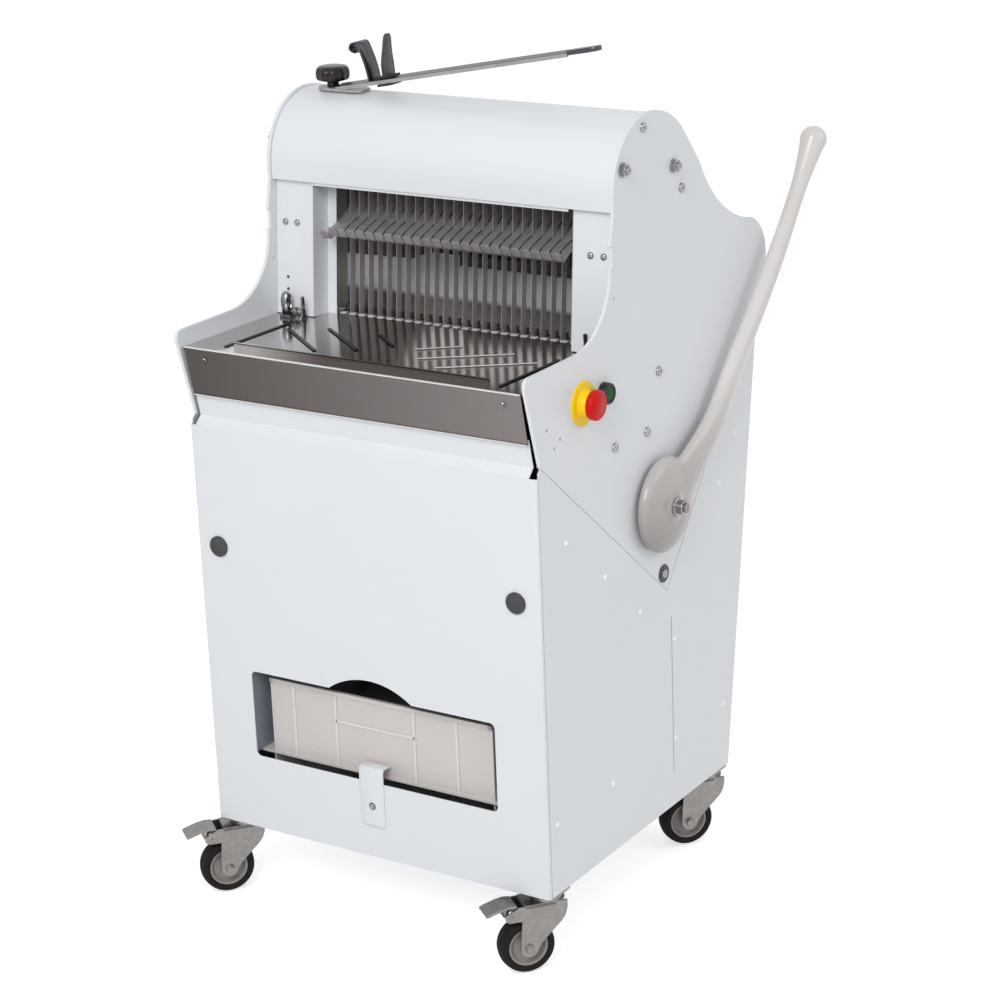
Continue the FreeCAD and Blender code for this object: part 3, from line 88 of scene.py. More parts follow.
# A finish is a base colour that drifts slowly to a second one, a grain that moves roughness and bump, and
# rounded edges in the shading. With a fade, the drift runs along one axis between two places instead. The coat and
# the light scattered under the surface are each a weight, then a roughness or a depth.
def makeFinish(name, colour, drift, metallic, roughness, grainMm, bumpMm, stretch=(1, 1, 1), driftMm=180,
               roughSwing=0.06, edgeMm=0.7, spotMm=None, fade=None, specular=0.5, coat=(0, 0.03), under=(0, 0.05)):
    material = bpy.data.materials.new(name)
    material.use_nodes = True
    material.diffuse_color = fromHex(colour)
    tree = material.node_tree
    shader = tree.nodes["Principled BSDF"]
    for socket, value in {"Metallic": metallic, "Roughness": roughness, "Specular IOR Level": specular,
                          "Coat Weight": coat[0], "Coat Roughness": coat[1], "Subsurface Weight": under[0],
                          "Subsurface Scale": under[1]}.items():
        shader.inputs[socket].default_value = value
    place = addNode(tree, "ShaderNodeTexCoord").outputs["Object"]
    slow = addNode(tree, "ShaderNodeTexNoise", {"Scale": perMetre(driftMm), "Detail": 3.0}, {"Vector": place})
    share = slow.outputs["Fac"]
    if fade:
        axis, start, end = fade
        split = addNode(tree, "ShaderNodeSeparateXYZ", {}, {"Vector": place})
        share = addNode(tree, "ShaderNodeMapRange", {"From Min": start * mm, "From Max": end * mm},
                        {"Value": split.outputs[axis]}).outputs["Result"]
    tint = addNode(tree, "ShaderNodeMix", {"data_type": "RGBA", 6: fromHex(colour), 7: fromHex(drift)}, {0: share})
    tone = tint.outputs[2]
    if spotMm:
        blotch = addNode(tree, "ShaderNodeTexNoise", {"Scale": perMetre(spotMm), "Detail": 2.0}, {"Vector": place})
        ramp = addNode(tree, "ShaderNodeValToRGB", {}, {"Fac": blotch.outputs["Fac"]})
        for stop, edge, shade in zip(ramp.color_ramp.elements, ("low", "high"), (drift, colour)):
            stop.position = spots[edge]
            stop.color = fromHex(shade)
        tone = addNode(tree, "ShaderNodeMix", {"data_type": "RGBA", 0: spots["share"]},
                       {6: tone, 7: ramp.outputs["Color"]}).outputs[2]
    tree.links.new(tone, shader.inputs["Base Color"])
    stretched = addNode(tree, "ShaderNodeMapping", {"Scale": stretch}, {"Vector": place})
    grain = addNode(tree, "ShaderNodeTexNoise", {"Scale": perMetre(grainMm), "Detail": 4.0, "Roughness": 0.6},
                    {"Vector": stretched.outputs["Vector"]})
    spread = addNode(tree, "ShaderNodeMapRange", {"To Min": max(roughness - roughSwing, 0.02),
                                                  "To Max": roughness + roughSwing}, {"Value": grain.outputs["Fac"]})
    tree.links.new(spread.outputs["Result"], shader.inputs["Roughness"])
    soft = addNode(tree, "ShaderNodeBevel", {"samples": 4, "Radius": edgeMm * mm})
    bump = addNode(tree, "ShaderNodeBump", {"Strength": 1.0, "Distance": bumpMm * mm},
                   {"Height": grain.outputs["Fac"], "Normal": soft.outputs["Normal"]})
    tree.links.new(bump.outputs["Normal"], shader.inputs["Normal"])
    finish[name] = material


# Cold-rolled steel sheet with a sprayed and baked polyester powder coat: satin, faint orange peel.
makeFinish("powderCoatedSteel", "#e9ecf0", "#e4e8ec", 0.0, 0.36, 3.0, 0.02, coat=(0.12, 0.25), edgeMm=0.9)
# Cold-rolled stainless sheet ground along its length: fine hairlines, soft reflections.
# Darker at its left end and paler at its right: painted shade and light across the apron.
makeFinish("brushedStainless", "#504c4a", "#7a7574", 1.0, 0.30, 1.6, 0.010, stretch=(0.03, 1, 1), roughSwing=0.05,
           fade=("X", -272, 290))
# The same sheet, dark near the blades and near white further back: painted shade on the near end, under the hood.
makeFinish("bedStainless", "#57504d", "#f1f1f4", 0.2, 0.34, 2.0, 0.01, stretch=(0.1, 1, 1), fade=("Y", 118, 142))
# The same sheet polished on a buffing wheel: a near mirror with very faint wipe marks.
# Paler at its left end and darker from there to the right: painted light in the reflection.
makeFinish("mirrorStainless", "#c9c6c5", "#857f7c", 1.0, 0.12, 9.0, 0.004, stretch=(1, 0.2, 1), roughSwing=0.025,
           fade=("X", -175, -60), edgeMm=0.4)
# The same sheet painted near white: painted highlights on the apron's edges, the table's tongues and the beads by its
# slots.
makeFinish("highlightStainless", "#efedec", "#d8d5d3", 0.35, 0.3, 2.0, 0.004, driftMm=12, edgeMm=0.3)
# Hardened stainless strip, cold rolled and ground: grey, streaked along its length.
makeFinish("rolledBladeSteel", "#b3adaa", "#c0bab7", 0.35, 0.30, 2.2, 0.01, stretch=(1, 1, 0.05), driftMm=60,
           edgeMm=0.2)
# Bent spring strip, tumbled after forming: a slightly duller grey.
makeFinish("springStrip", "#b4b1b4", "#8d8889", 0.35, 0.36, 6.0, 0.004, driftMm=14, roughSwing=0.03, edgeMm=0.4)
# The same strip painted a darker slate grey, for the bag arm's top and prongs: painted shade on the arm's top.
makeFinish("darkSpringStrip", "#55575b", "#484a4e", 1.0, 0.34, 5.0, 0.004, driftMm=30, roughSwing=0.03, edgeMm=0.3)
# Sheet steel painted a dull black-brown: painted shade inside the head, in the table's slots and behind the comb,
# where no light falls.
makeFinish("paintedShadeSteel", "#3a3635", "#4b4645", 0.0, 0.55, 4.0, 0.01, driftMm=60)
# Pressed steel with bright zinc plating: cool grey with small dull blotches.
makeFinish("zincPlatedSteel", "#918e8c", "#817e7c", 1.0, 0.30, 3.0, 0.005, driftMm=24, roughSwing=0.04, spotMm=9)
# Turned steel fittings, chromed: bright, with darker patches painted into the colour as reflected bands: painted
# reflection.
makeFinish("chromedSteel", "#b4b3b5", "#77777b", 1.0, 0.12, 4.0, 0.004, driftMm=12)
# Cast aluminium, filled, sanded and sprayed with a warm light grey enamel: smooth and soft gloss.
# Darker towards its foot and the hub, paler up the arm: painted shade low on the lever.
makeFinish("enamelledCasting", "#8b8481", "#dcd7d5", 0.0, 0.30, 5.0, 0.02, coat=(0.4, 0.18), fade=("Z", 515, 735),
           edgeMm=1.5)
# Compression-moulded phenolic: nearly black brown with a hard gloss.
makeFinish("mouldedPhenolic", "#150d0a", "#1e1410", 0.0, 0.24, 2.0, 0.004, roughSwing=0.04, specular=0.35)
# Injection-moulded black ABS with a plain satin face.
makeFinish("blackAbs", "#17181a", "#1d1e20", 0.0, 0.38, 1.5, 0.004, driftMm=12, specular=0.35)
# The ribs' rounded faces: the same resin painted paler: painted light, as if lit from above.
makeFinish("litRibPolypropylene", "#e9e6e4", "#e0dddb", 0.0, 0.4, 4.0, 0.01, driftMm=30)
# Hot-dip galvanised guide sheet: a dull blue grey.
makeFinish("galvanisedSheet", "#8f959f", "#a2a8b2", 0.2, 0.5, 5.0, 0.006, driftMm=40)
# Nylon drive rivets, painted pure white, whiter than the coat around them: painted highlights.
makeFinish("whiteNylon", "#ffffff", "#fbfbfb", 0.0, 0.3, 2.0, 0.002, coat=(0.5, 0.1))
# Injection-moulded ABS with a spark-eroded texture.
makeFinish("texturedAbs", "#3a3b3d", "#2f3032", 0.0, 0.48, 0.9, 0.03, driftMm=12)
# Injection-moulded ABS from a polished tool, coloured through.
makeFinish("redAbs", "#d6070e", "#c8060c", 0.0, 0.38, 2.0, 0.002, driftMm=25, roughSwing=0.03, specular=0.22)
makeFinish("yellowAbs", "#ffd900", "#fcd000", 0.0, 0.38, 2.0, 0.002, driftMm=25, roughSwing=0.03, specular=0.35)
makeFinish("greenAbs", "#00551f", "#004c1b", 0.0, 0.42, 1.5, 0.002, driftMm=8, specular=0.15)
# Injection-moulded polypropylene: waxy, pale warm grey, with faint flow marks.
makeFinish("mouldedPolypropylene", "#d9d4d1", "#d0cbc9", 0.0, 0.42, 4.0, 0.02, under=(0.1, 0.004),
           stretch=(0.3, 1, 1), driftMm=70)
# Injection-moulded nylon, a flat mid grey: the wheel centres and the line along a fold.
makeFinish("mouldedNylon", "#98928f", "#8d8785", 0.0, 0.45, 1.5, 0.03, driftMm=12)
# Moulded non-marking rubber with dust in its surface.
makeFinish("mouldedRubber", "#1a1715", "#221f1d", 0.0, 0.8, 1.8, 0.05, driftMm=14, specular=0.2)
# Moulded V-belt rubber over cord.
makeFinish("beltRubber", "#1c1c1c", "#262626", 0.0, 0.7, 2.0, 0.06, driftMm=20)
# Ribbed aluminium motor casting in stoved grey enamel.
makeFinish("stovedCasting", "#565a60", "#4b5056", 0.0, 0.5, 2.0, 0.08, driftMm=40)
print("materials:", len(finish))


def meshFrom(bm, name, smoothAngle):
    mesh = bpy.data.meshes.new(name)
    bmesh.ops.recalc_face_normals(bm, faces=bm.faces)
    for face in bm.faces:
        face.smooth = True
    for edge in bm.edges:
        if len(edge.link_faces) == 2 and edge.calc_face_angle(0) > math.radians(smoothAngle):
            edge.smooth = False
    bm.to_mesh(mesh)
    bm.free()
    return mesh


# Ends a piece: rounds its sharp edges, takes it to metres and hangs it on its body.
def finishPiece(bm, name, material, body, slot, replaces=(), roundMm=0.0, segments=2, smoothAngle=38, scale=mm):
    if roundMm:
        sharp = [e for e in bm.edges if len(e.link_faces) == 2 and e.calc_face_angle(0) > math.radians(32)]
        bmesh.ops.bevel(bm, geom=sharp, offset=roundMm * mm / scale, offset_type="OFFSET", segments=segments,
                        profile=0.6, affect="EDGES", clamp_overlap=True)
    bmesh.ops.scale(bm, verts=bm.verts, vec=(scale, scale, scale))
    piece = bpy.data.objects.new(name, meshFrom(bm, name, smoothAngle))
    bpy.context.scene.collection.objects.link(piece)
    piece.data.materials.append(finish[material])
    if roundMm:
        even = piece.modifiers.new("evenNormals", "WEIGHTED_NORMAL")
        even.keep_sharp = True
    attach(piece, body)
    if replaces:
        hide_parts(*replaces)
    return piece


def bodyOf(node):
    return frame["nodes"][node]["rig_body"]


def dress(node, material):
    mesh = frame["nodes"][node].data
    mesh.materials.clear()
    mesh.materials.append(finish[material])


# Copies a node's mesh into a new piece whose edges are really rounded.
def refine(node, material, slot, roundMm=0.6, reshape=None, segments=2):
    bm = bmesh.new()
    bm.from_mesh(frame["nodes"][node].data)
    bmesh.ops.remove_doubles(bm, verts=bm.verts, dist=0.02 * mm)
    bmesh.ops.dissolve_limit(bm, angle_limit=math.radians(1.5), verts=bm.verts, edges=bm.edges)
    if reshape:
        reshape(bm)
    return finishPiece(bm, node + "Rounded", material, bodyOf(node), slot, (node,), roundMm, segments, scale=1.0)


# The low and high corners of a node's separate solids, in millimetres.
def islands(node):
    bm = bmesh.new()
    bm.from_mesh(frame["nodes"][node].data)
    bmesh.ops.remove_doubles(bm, verts=bm.verts, dist=0.02 * mm)
    seen, boxes = set(), []
    for start in bm.verts:
        if start in seen:
            continue
        stack, group = [start], []
        seen.add(start)
        while stack:
            vert = stack.pop()
            group.append(vert.co / mm)
            for edge in vert.link_edges:
                other = edge.other_vert(vert)
                if other not in seen:
                    seen.add(other)
                    stack.append(other)
        boxes.append((Vector([min(p[i] for p in group) for i in range(3)]),
                      Vector([max(p[i] for p in group) for i in range(3)])))
    bm.free()
    return boxes


def turnsOf(steps):
    return [2 * math.pi * k / steps for k in range(steps)]


# Turns a profile of (radius, height) about the placement's own Z axis.
def addLathe(bm, profile, place, steps=48):
    rings = []
    for radius, height in profile:
        if radius < 1e-6:
            rings.append([bm.verts.new(place @ Vector((0, 0, height)))])
        else:
            rings.append([bm.verts.new(place @ Vector((radius * math.cos(turn), radius * math.sin(turn), height)))
                          for turn in turnsOf(steps)])
    for low, high in zip(rings, rings[1:]):
        for i in range(steps):
            j = (i + 1) % steps
            corners = [low[i % len(low)], low[j % len(low)], high[j % len(high)], high[i % len(high)]]
            corners = list(dict.fromkeys(corners))
            if len(corners) > 2:
                bm.faces.new(corners)
    if rings[0] != rings[-1] and len(rings[0]) > 1 and profile[0] == profile[-1]:
        bmesh.ops.remove_doubles(bm, verts=rings[0] + rings[-1], dist=1e-4)


def rod(radius, length):
    return [(0, 0), (radius, 0), (radius, length), (0, length)]


# A closed profile from its lower half, its mirror image above and what lies between.
def mirrored(half, between=()):
    return [*half, *between, *[(radius, -height) for radius, height in half[::-1]], half[0]]


# A piece turned from one profile.
def buildTurned(name, profile, place, steps, *look, **more):
    bm = bmesh.new()
    addLathe(bm, profile, place, steps)
    finishPiece(bm, name, *look, **more)


# Pads an outline of (x, y) by a thickness along the placement's own Z axis.
def addSlab(bm, outline, thick, place):
    low = [bm.verts.new(place @ Vector((x, y, 0))) for x, y in outline]
    high = [bm.verts.new(place @ Vector((x, y, thick))) for x, y in outline]
    bm.faces.new(low[::-1])
    bm.faces.new(high)
    for i in range(len(outline)):
        j = (i + 1) % len(outline)
        bm.faces.new([low[i], low[j], high[j], high[i]])


def addBox(bm, low, high, place=Matrix()):
    addSlab(bm, [(low[0], low[1]), (high[0], low[1]), (high[0], high[1]), (low[0], high[1])], high[2] - low[2],
            place @ Matrix.Translation((0, 0, low[2])))


# A box on the left and its mirror image on the right, between two distances from the middle and two (y, z).
def addPair(bm, near, far, low, high):
    for side in (-1, 1):
        edges = sorted((side * near, side * far))
        addBox(bm, (edges[0], *low), (edges[1], *high))


# Joins rings of points into one closed skin.
def addRings(bm, rings):
    loops = [[bm.verts.new(spot) for spot in ring] for ring in rings]
    count = len(loops[0])
    for low, high in zip(loops, loops[1:]):
        for i in range(count):
            j = (i + 1) % count
            bm.faces.new([low[i], low[j], high[j], high[i]])
    bm.faces.new(loops[0][::-1])
    bm.faces.new(loops[-1])


def smoothed(points, steps=6):
    points = [Vector(p) for p in points]
    result = []
    for i in range(len(points) - 1):
        p0, p1, p2 = points[max(i - 1, 0)], points[i], points[i + 1]
        p3 = points[min(i + 2, len(points) - 1)]
        for k in range(steps):
            t = k / steps
            result.append(0.5 * (2 * p1 + (p2 - p0) * t + (2 * p0 - 5 * p1 + 4 * p2 - p3) * t * t
                                 + (3 * p1 - p0 - 3 * p2 + p3) * t ** 3))
    return result + [points[-1]]


# The same curve through flat points.
def smoothedFlat(points, steps=4):
    return [(p.x, p.y) for p in smoothed([(*point, 0) for point in points], steps)]


# A flat strip bent in the placement's own XZ plane. The taper gives its far end's widths, from the tip back; edge
# and inset are how high and how far in its rounded long edges start.
def addStrip(bm, path, width, thick, place, taper=(), steps=6, edge=0.5, inset=0.6):
    path = smoothed([(x, 0, z) for x, z in path], steps)
    rings = []
    for i, spot in enumerate(path):
        run = path[min(i + 1, len(path) - 1)] - path[max(i - 1, 0)]
        run.normalize()
        out = Vector((-run.z, 0, run.x)) * (thick / 2)
        left = len(path) - 1 - i
        wide = width / 2 * (taper[left] if left < len(taper) else 1)
        rings.append([place @ (spot + out * side + Vector((0, across, 0)))
                      for across, side in ((-wide, -edge), (-wide, edge), (inset - wide, 1), (wide - inset, 1),
                                           (wide, edge), (wide, -edge), (wide - inset, -1), (inset - wide, -1))])
    addRings(bm, rings)


# A placement whose own Z axis points along the normal.
def facing(place, normal):
    return Matrix.Translation(place) @ Vector((0, 0, 1)).rotation_difference(Vector(normal)).to_matrix().to_4x4()


# A placement for an outline of (y, z) that is padded along X.
def alongX(start):
    return Matrix(((0, 0, 1, start), (1, 0, 0, 0), (0, 1, 0, 0), (0, 0, 0, 1)))


def arcPoints(x, y, radius, start, end, steps=8):
    turns = [math.radians(start + (end - start) * k / steps) for k in range(steps + 1)]
    return [(x + radius * math.cos(turn), y + radius * math.sin(turn)) for turn in turns]


head = {"front": 46.5, "base": 830, "tilt": -5}
headPlace = (Matrix.Translation((0, -head["front"], head["base"]))
             @ Matrix.Rotation(math.radians(head["tilt"]), 4, "X"))

cabinet = {
    "halfWidth": 282.5, "gauge": 1.5, "edgeRadius": 5, "edgeSteps": 5, "rollTop": 720, "webDrop": 5, "seamInset": 0.7,
    "sideOutline": ((-249.2, 116), (255.5, 116), (362.5, 813.5), (80.4, 450.3), (80, 450.3), (-243.9, 726.2),
                    (-249.2, 721)),
    "seamFill": ((-243.06, 726.9), (80.02, 451.86), (361.1, 813.5), (362.3, 813.5), (80.16, 450.45), (-243.7, 726.2)),
}


# Rolls the front sheet's upright edges back over a radius, as a folded corner.
def rollEdges(bm):
    half, radius = cabinet["halfWidth"] * mm, cabinet["edgeRadius"] * mm
    start = half - radius
    for side in (-1, 1):
        for k in range(cabinet["edgeSteps"]):
            turn = math.radians(90 * k / cabinet["edgeSteps"])
            cutAt = start + radius * math.sin(turn)
            geometry = list(bm.verts) + list(bm.edges) + list(bm.faces)
            bmesh.ops.bisect_plane(bm, geom=geometry, plane_co=(side * cutAt, 0, 0), plane_no=(side, 0, 0))
    for vert in bm.verts:
        over = abs(vert.co.x) - start
        if over > 0 and vert.co.z < cabinet["rollTop"] * mm:
            vert.co.y += radius - math.sqrt(max(radius ** 2 - min(over, radius) ** 2, 0))


# The side sheet meets the plate above it along a fine V-shaped seam, and a strip lies just behind the seam.
def buildSidePanel(side, sign):
    half, gauge = cabinet["halfWidth"], cabinet["gauge"]
    for name, outline, inset, replaced, roundMm in (
            ("SideSheet", cabinet["sideOutline"], 0, (side + "_side_panel",), 0.3),
            ("SeamFill", cabinet["seamFill"], cabinet["seamInset"], (), 0)):
        bm = bmesh.new()
        addSlab(bm, outline, gauge, alongX(half - gauge - inset if sign > 0 else inset - half))
        finishPiece(bm, side + name, "powderCoatedSteel", "cabinet", "white_steel", replaced, roundMm)


# Lets the post reach down to the table.
def lowerWeb(bm):
    turned = headPlace.inverted()
    for vert in bm.verts:
        spot = turned @ (vert.co / mm)
        if spot.z < 1:
            vert.co = headPlace @ (spot - Vector((0, 0, cabinet["webDrop"]))) * mm


refine("front_panel", "powderCoatedSteel", "white_steel", 0.5, rollEdges)
for side, sign in (("left", -1), ("right", 1)):
    buildSidePanel(side, sign)
    refine(f"{side}_side_plate", "powderCoatedSteel", "white_steel", 1.2, segments=3)
    refine(f"{side}_front_post", "powderCoatedSteel", "white_steel", 0.5, lowerWeb)
refine("hood", "powderCoatedSteel", "white_steel", 0.6)
refine("outfeed_table", "mirrorStainless", "mirror_steel", 0.35)
refine("table_apron", "brushedStainless", "stainless", 0.7, segments=3)

# Nodes that keep their own mesh and only take a finish.
plainNodes = {
    "powderCoatedSteel": ("base_pan", "rear_panel"),
    "rolledBladeSteel": ("front_blade_frame", "rear_blade_frame"),
    "bedStainless": ("infeed_bed",),
    # The pusher comb is painted dark: painted shade behind the blades.
    "paintedShadeSteel": ("pusher_comb",),
    "zincPlatedSteel": ("crossmembers", "guide_rods", "crankshaft", "front_conrod", "rear_conrod", "motor_pulley",
                        "castor_mounts", "lever_shaft"),
    "stovedCasting": ("drive_support", "motor"),
    "beltRubber": ("drive_belt",),
}
for material, nodes in plainNodes.items():
    for node in nodes:
        dress(node, material)
print("cabinet and head")

blades = {"width": 13, "gauge": 0.6, "scallopMm": 11, "scallopDepth": 0.9}


# Each blade is a strip whose back edge, towards the loaf, is scalloped.
def buildBlades(node):
    bm = bmesh.new()
    turned = headPlace.inverted()
    for low, high in islands(node):
        foot, top = turned @ low, turned @ high
        front = (foot.y + top.y - blades["width"]) / 2
        back = front + blades["width"]
        count = round((top.z - foot.z) / blades["scallopMm"])
        step = (top.z - foot.z) / count
        outline = [(foot.z, front), (foot.z, back)]
        for i in range(1, count):
            outline.append((foot.z + step * (i - 0.5), back - blades["scallopDepth"]))
            outline.append((foot.z + step * i, back))
        outline += [(top.z, back), (top.z, front)]
        place = headPlace @ Matrix(((0, 0, 1, low.x), (0, 1, 0, 0), (1, 0, 0, 0), (0, 0, 0, 1)))
        addSlab(bm, outline, blades["gauge"], place)
    finishPiece(bm, node + "Scalloped", "rolledBladeSteel", bodyOf(node), "stainless", (node,))


buildBlades("front_blades")
buildBlades("rear_blades")
print("blades")

fingers = {
    "count": 25, "pitch": 16, "width": 13.5, "gauge": 1.0, "rod": (0, 98, 178), "rodRadius": 5, "rodHalf": 277,
    "collar": 7, "collarSpan": (70, 76), "endDrop": 3.0, "taper": (0.62, 0.86, 0.95),
    "path": ((98, 184), (93, 174), (84, 166), (72, 154.5), (60, 144), (48, 137), (25, 127.5), (10, 118.5), (3, 114),
             (-2, 116), (-6, 122), (-9.5, 127.5)),
}


# Spring strips that hang from one rod and hold the loaf down; the first of them hangs a little lower.
def buildFingers():
    bm = bmesh.new()
    pivot = Matrix.Translation(fingers["rod"])
    drop = pivot @ Matrix.Rotation(math.radians(fingers["endDrop"]), 4, "X") @ pivot.inverted()
    for n in range(fingers["count"]):
        x = (n - (fingers["count"] - 1) / 2) * fingers["pitch"]
        swapped = Matrix(((0, 1, 0, x), (1, 0, 0, 0), (0, 0, 1, 0), (0, 0, 0, 1)))
        place = headPlace @ swapped if n else headPlace @ drop @ swapped
        addStrip(bm, fingers["path"], fingers["width"], fingers["gauge"], place, fingers["taper"], 4, 0.4, 0.5)
    axis = headPlace @ pivot @ Matrix.Translation((-fingers["rodHalf"], 0, 0)) @ Matrix.Rotation(math.pi / 2, 4, "Y")
    length, radius, collar = fingers["rodHalf"] * 2, fingers["rodRadius"], fingers["collar"]
    first, last = fingers["collarSpan"]
    nearHalf = [(0, 0), (radius, 0), (radius, first), (collar, first), (collar, last), (radius, last)]
    addLathe(bm, nearHalf + [(reach, length - along) for reach, along in nearHalf[::-1]], axis, 32)
    finishPiece(bm, "fingerStrips", "springStrip", "fingers", "stainless", ("hold_down_fingers",))


buildFingers()
print("fingers")

lever = {
    "centre": (287, 58, 588), "voxelMm": 2.4, "smoothRounds": 10, "ballRadius": 20,
    # Each station is x, y and z from the centre, then the half width and half thickness.
    "stations": ((12, 18, 10, 40, 11), (13, 72, 43, 30, 12), (14.5, 131, 85.5, 22.5, 12.5),
                 (16.5, 195, 157, 18.2, 12.5), (19.5, 263, 229.5, 17, 12.5), (22.5, 316, 292, 15.5, 12),
                 (26.5, 370, 367.5, 13.2, 11.5), (28, 395, 403, 15.6, 14.4), (29.5, 416, 435, 19.5, 19)),
    "hub": ((0, 0.4), (65, 0.4), (68, 3.5), (68, 8), (66.5, 13), (62, 17), (52, 20.5), (38, 23.2), (24, 24),
            (18.6, 24), (18.6, 26.6), (0, 26.6)),
}


# The hub, arm and grip are joined as one skin, then smoothed so that they run into each other.
def buildLever():
    bm = bmesh.new()
    centre = Vector(lever["centre"])
    outward = facing(centre, (1, 0, 0))
    addLathe(bm, lever["hub"], outward, 96)
    stations = smoothed([station[:3] for station in lever["stations"]], 5)
    sizes = smoothed([(station[3], station[4], 0) for station in lever["stations"]], 5)
    rings = []
    for i, (spot, size) in enumerate(zip(stations, sizes)):
        run = stations[min(i + 1, len(stations) - 1)] - stations[max(i - 1, 0)]
        run.x = 0
        run.normalize()
        across = Vector((0, -run.z, run.y))
        rings.append([centre + spot + across * (size.x * math.cos(turn)) + Vector((size.y * math.sin(turn), 0, 0))
                      for turn in turnsOf(32)])
    addRings(bm, rings)
    grip = lever["stations"][-1]
    ball = Matrix.Translation(centre + Vector(grip[:3]))
    bmesh.ops.create_icosphere(bm, subdivisions=4, radius=lever["ballRadius"], matrix=ball)
    piece = finishPiece(bm, "castLever", "enamelledCasting", "lever", "lever_grey", ("hand_lever",))
    bpy.context.view_layer.objects.active = piece
    skin = piece.modifiers.new("skin", "REMESH")
    skin.mode = "VOXEL"
    skin.voxel_size = lever["voxelMm"] * mm
    skin.use_smooth_shade = True
    relax = piece.modifiers.new("relax", "SMOOTH")
    relax.factor = 0.5
    relax.iterations = lever["smoothRounds"]
    shapeNow = bpy.data.meshes.new_from_object(piece.evaluated_get(bpy.context.evaluated_depsgraph_get()))
    piece.modifiers.clear()
    piece.data = shapeNow
    for face in piece.data.polygons:
        face.use_smooth = True
    if not piece.data.materials:
        piece.data.materials.append(finish["enamelledCasting"])


buildLever()
print("lever")


# A hexagonal nut or bolt head with a chamfered top.
def hexRing(bm, radius, height, place):
    chamfer = radius * 0.13
    corners = [(radius * math.cos(turn), radius * math.sin(turn)) for turn in turnsOf(6)]
    addSlab(bm, corners, height - chamfer * 0.6, place)
    addLathe(bm, [(radius * 0.86, height - chamfer * 0.7), (radius * 0.82, height), (0, height)], place, 36)


# A domed head with a shallow recess in its middle.
def domeProfile(radius, height):
    return [(radius, 0), (radius, height * 0.18), (radius * 0.95, height * 0.45), (radius * 0.82, height * 0.72),
            (radius * 0.6, height * 0.9), (radius * 0.34, height), (radius * 0.28, height * 0.86),
            (0, height * 0.82)]


# The place on a side plate's outer face that a solid stands on.
def onSide(low, high):
    middle = (low + high) / 2
    side = 1 if middle.x > 0 else -1
    return facing((side * cabinet["halfWidth"], middle.y, middle.z), (side, 0, 0))


fasteners = {
    "tieWasher": ((0, 0), (10, 0), (10, 1.6), (8.6, 1.6), (0, 1.6)),
    "tieNut": (9.2, 6.2), "nutTurn": 0.3, "nutAt": 1.4, "tieRadius": 5.9,
    "tieEnd": ((5.4, 7), (5.4, 10), (4.6, 11), (0, 11)),
    "discTall": 20, "discTop": 2, "discScrew": (6.4, 2.6),
    "disc": ((0, 0), (13, 0), (13, 1.4), (12.2, 2.2), (0, 2.2)),
    "dome": (6.8, 4.5), "rivet": ((4, 0), (3.9, 0.9), (3.2, 1.6), (1.8, 2), (0, 2)),
}


def buildFasteners():
    half = cabinet["halfWidth"]
    bm = bmesh.new()
    for low, high in islands("tie_rods"):
        middle = (low + high) / 2
        for side in (-1, 1):
            place = facing((side * half, middle.y, middle.z), (side, 0, 0))
            addLathe(bm, fasteners["tieWasher"], place)
            nutTurn = Matrix.Rotation(side * fasteners["nutTurn"], 4, "Z")
            hexRing(bm, *fasteners["tieNut"], place @ Matrix.Translation((0, 0, fasteners["nutAt"])) @ nutTurn)
            addLathe(bm, fasteners["tieEnd"], place)
        addLathe(bm, rod(fasteners["tieRadius"], half * 2 - 1), facing((0.5 - half, middle.y, middle.z), (1, 0, 0)))
    finishPiece(bm, "tieRodNuts", "chromedSteel", "cabinet", "zinc_steel", ("tie_rods",), 0.3)
    domes, discs = bmesh.new(), bmesh.new()
    for low, high in islands("plate_bolts"):
        place = onSide(low, high)
        if high.z - low.z > fasteners["discTall"]:
            addLathe(discs, fasteners["disc"], place)
            place = place @ Matrix.Translation((0, 0, fasteners["discTop"]))
            addLathe(domes, domeProfile(*fasteners["discScrew"]), place, 32)
        else:
            addLathe(domes, domeProfile(*fasteners["dome"]), place, 32)
    finishPiece(domes, "domeBolts", "chromedSteel", "cabinet", "zinc_steel", ("plate_bolts",), smoothAngle=50)
    finishPiece(discs, "boltDiscs", "texturedAbs", "cabinet", "zinc_steel")
    bm = bmesh.new()
    for low, high in islands("panel_rivets"):
        addLathe(bm, fasteners["rivet"], onSide(low, high), 24)
    finishPiece(bm, "driveRivets", "whiteNylon", "cabinet", "white_steel", ("panel_rivets",))


buildFasteners()

# The post's screws and holes are (x, z) in the head's own axes.
postScrews = {"across": (241.1, 261.2), "up": 127.5, "size": (4.8, 3.2), "hole": ((0, 0.25), (2, 0.25), (2.3, 0)),
              "holes": ((-257.7, 48.5), (-257.7, 31), (260.7, 51))}
apronScrews = {"across": 241.3, "y": -263.4, "z": 812.8, "normal": (0, -0.981, -0.195), "size": (5.2, 3.4)}
clipScrew = {"x": -4.2, "front": -257.5, "z": 194.5, "seat": ((0, 0.3), (5.3, 0.3), (5.6, 0)), "size": (4.4, 2.4)}


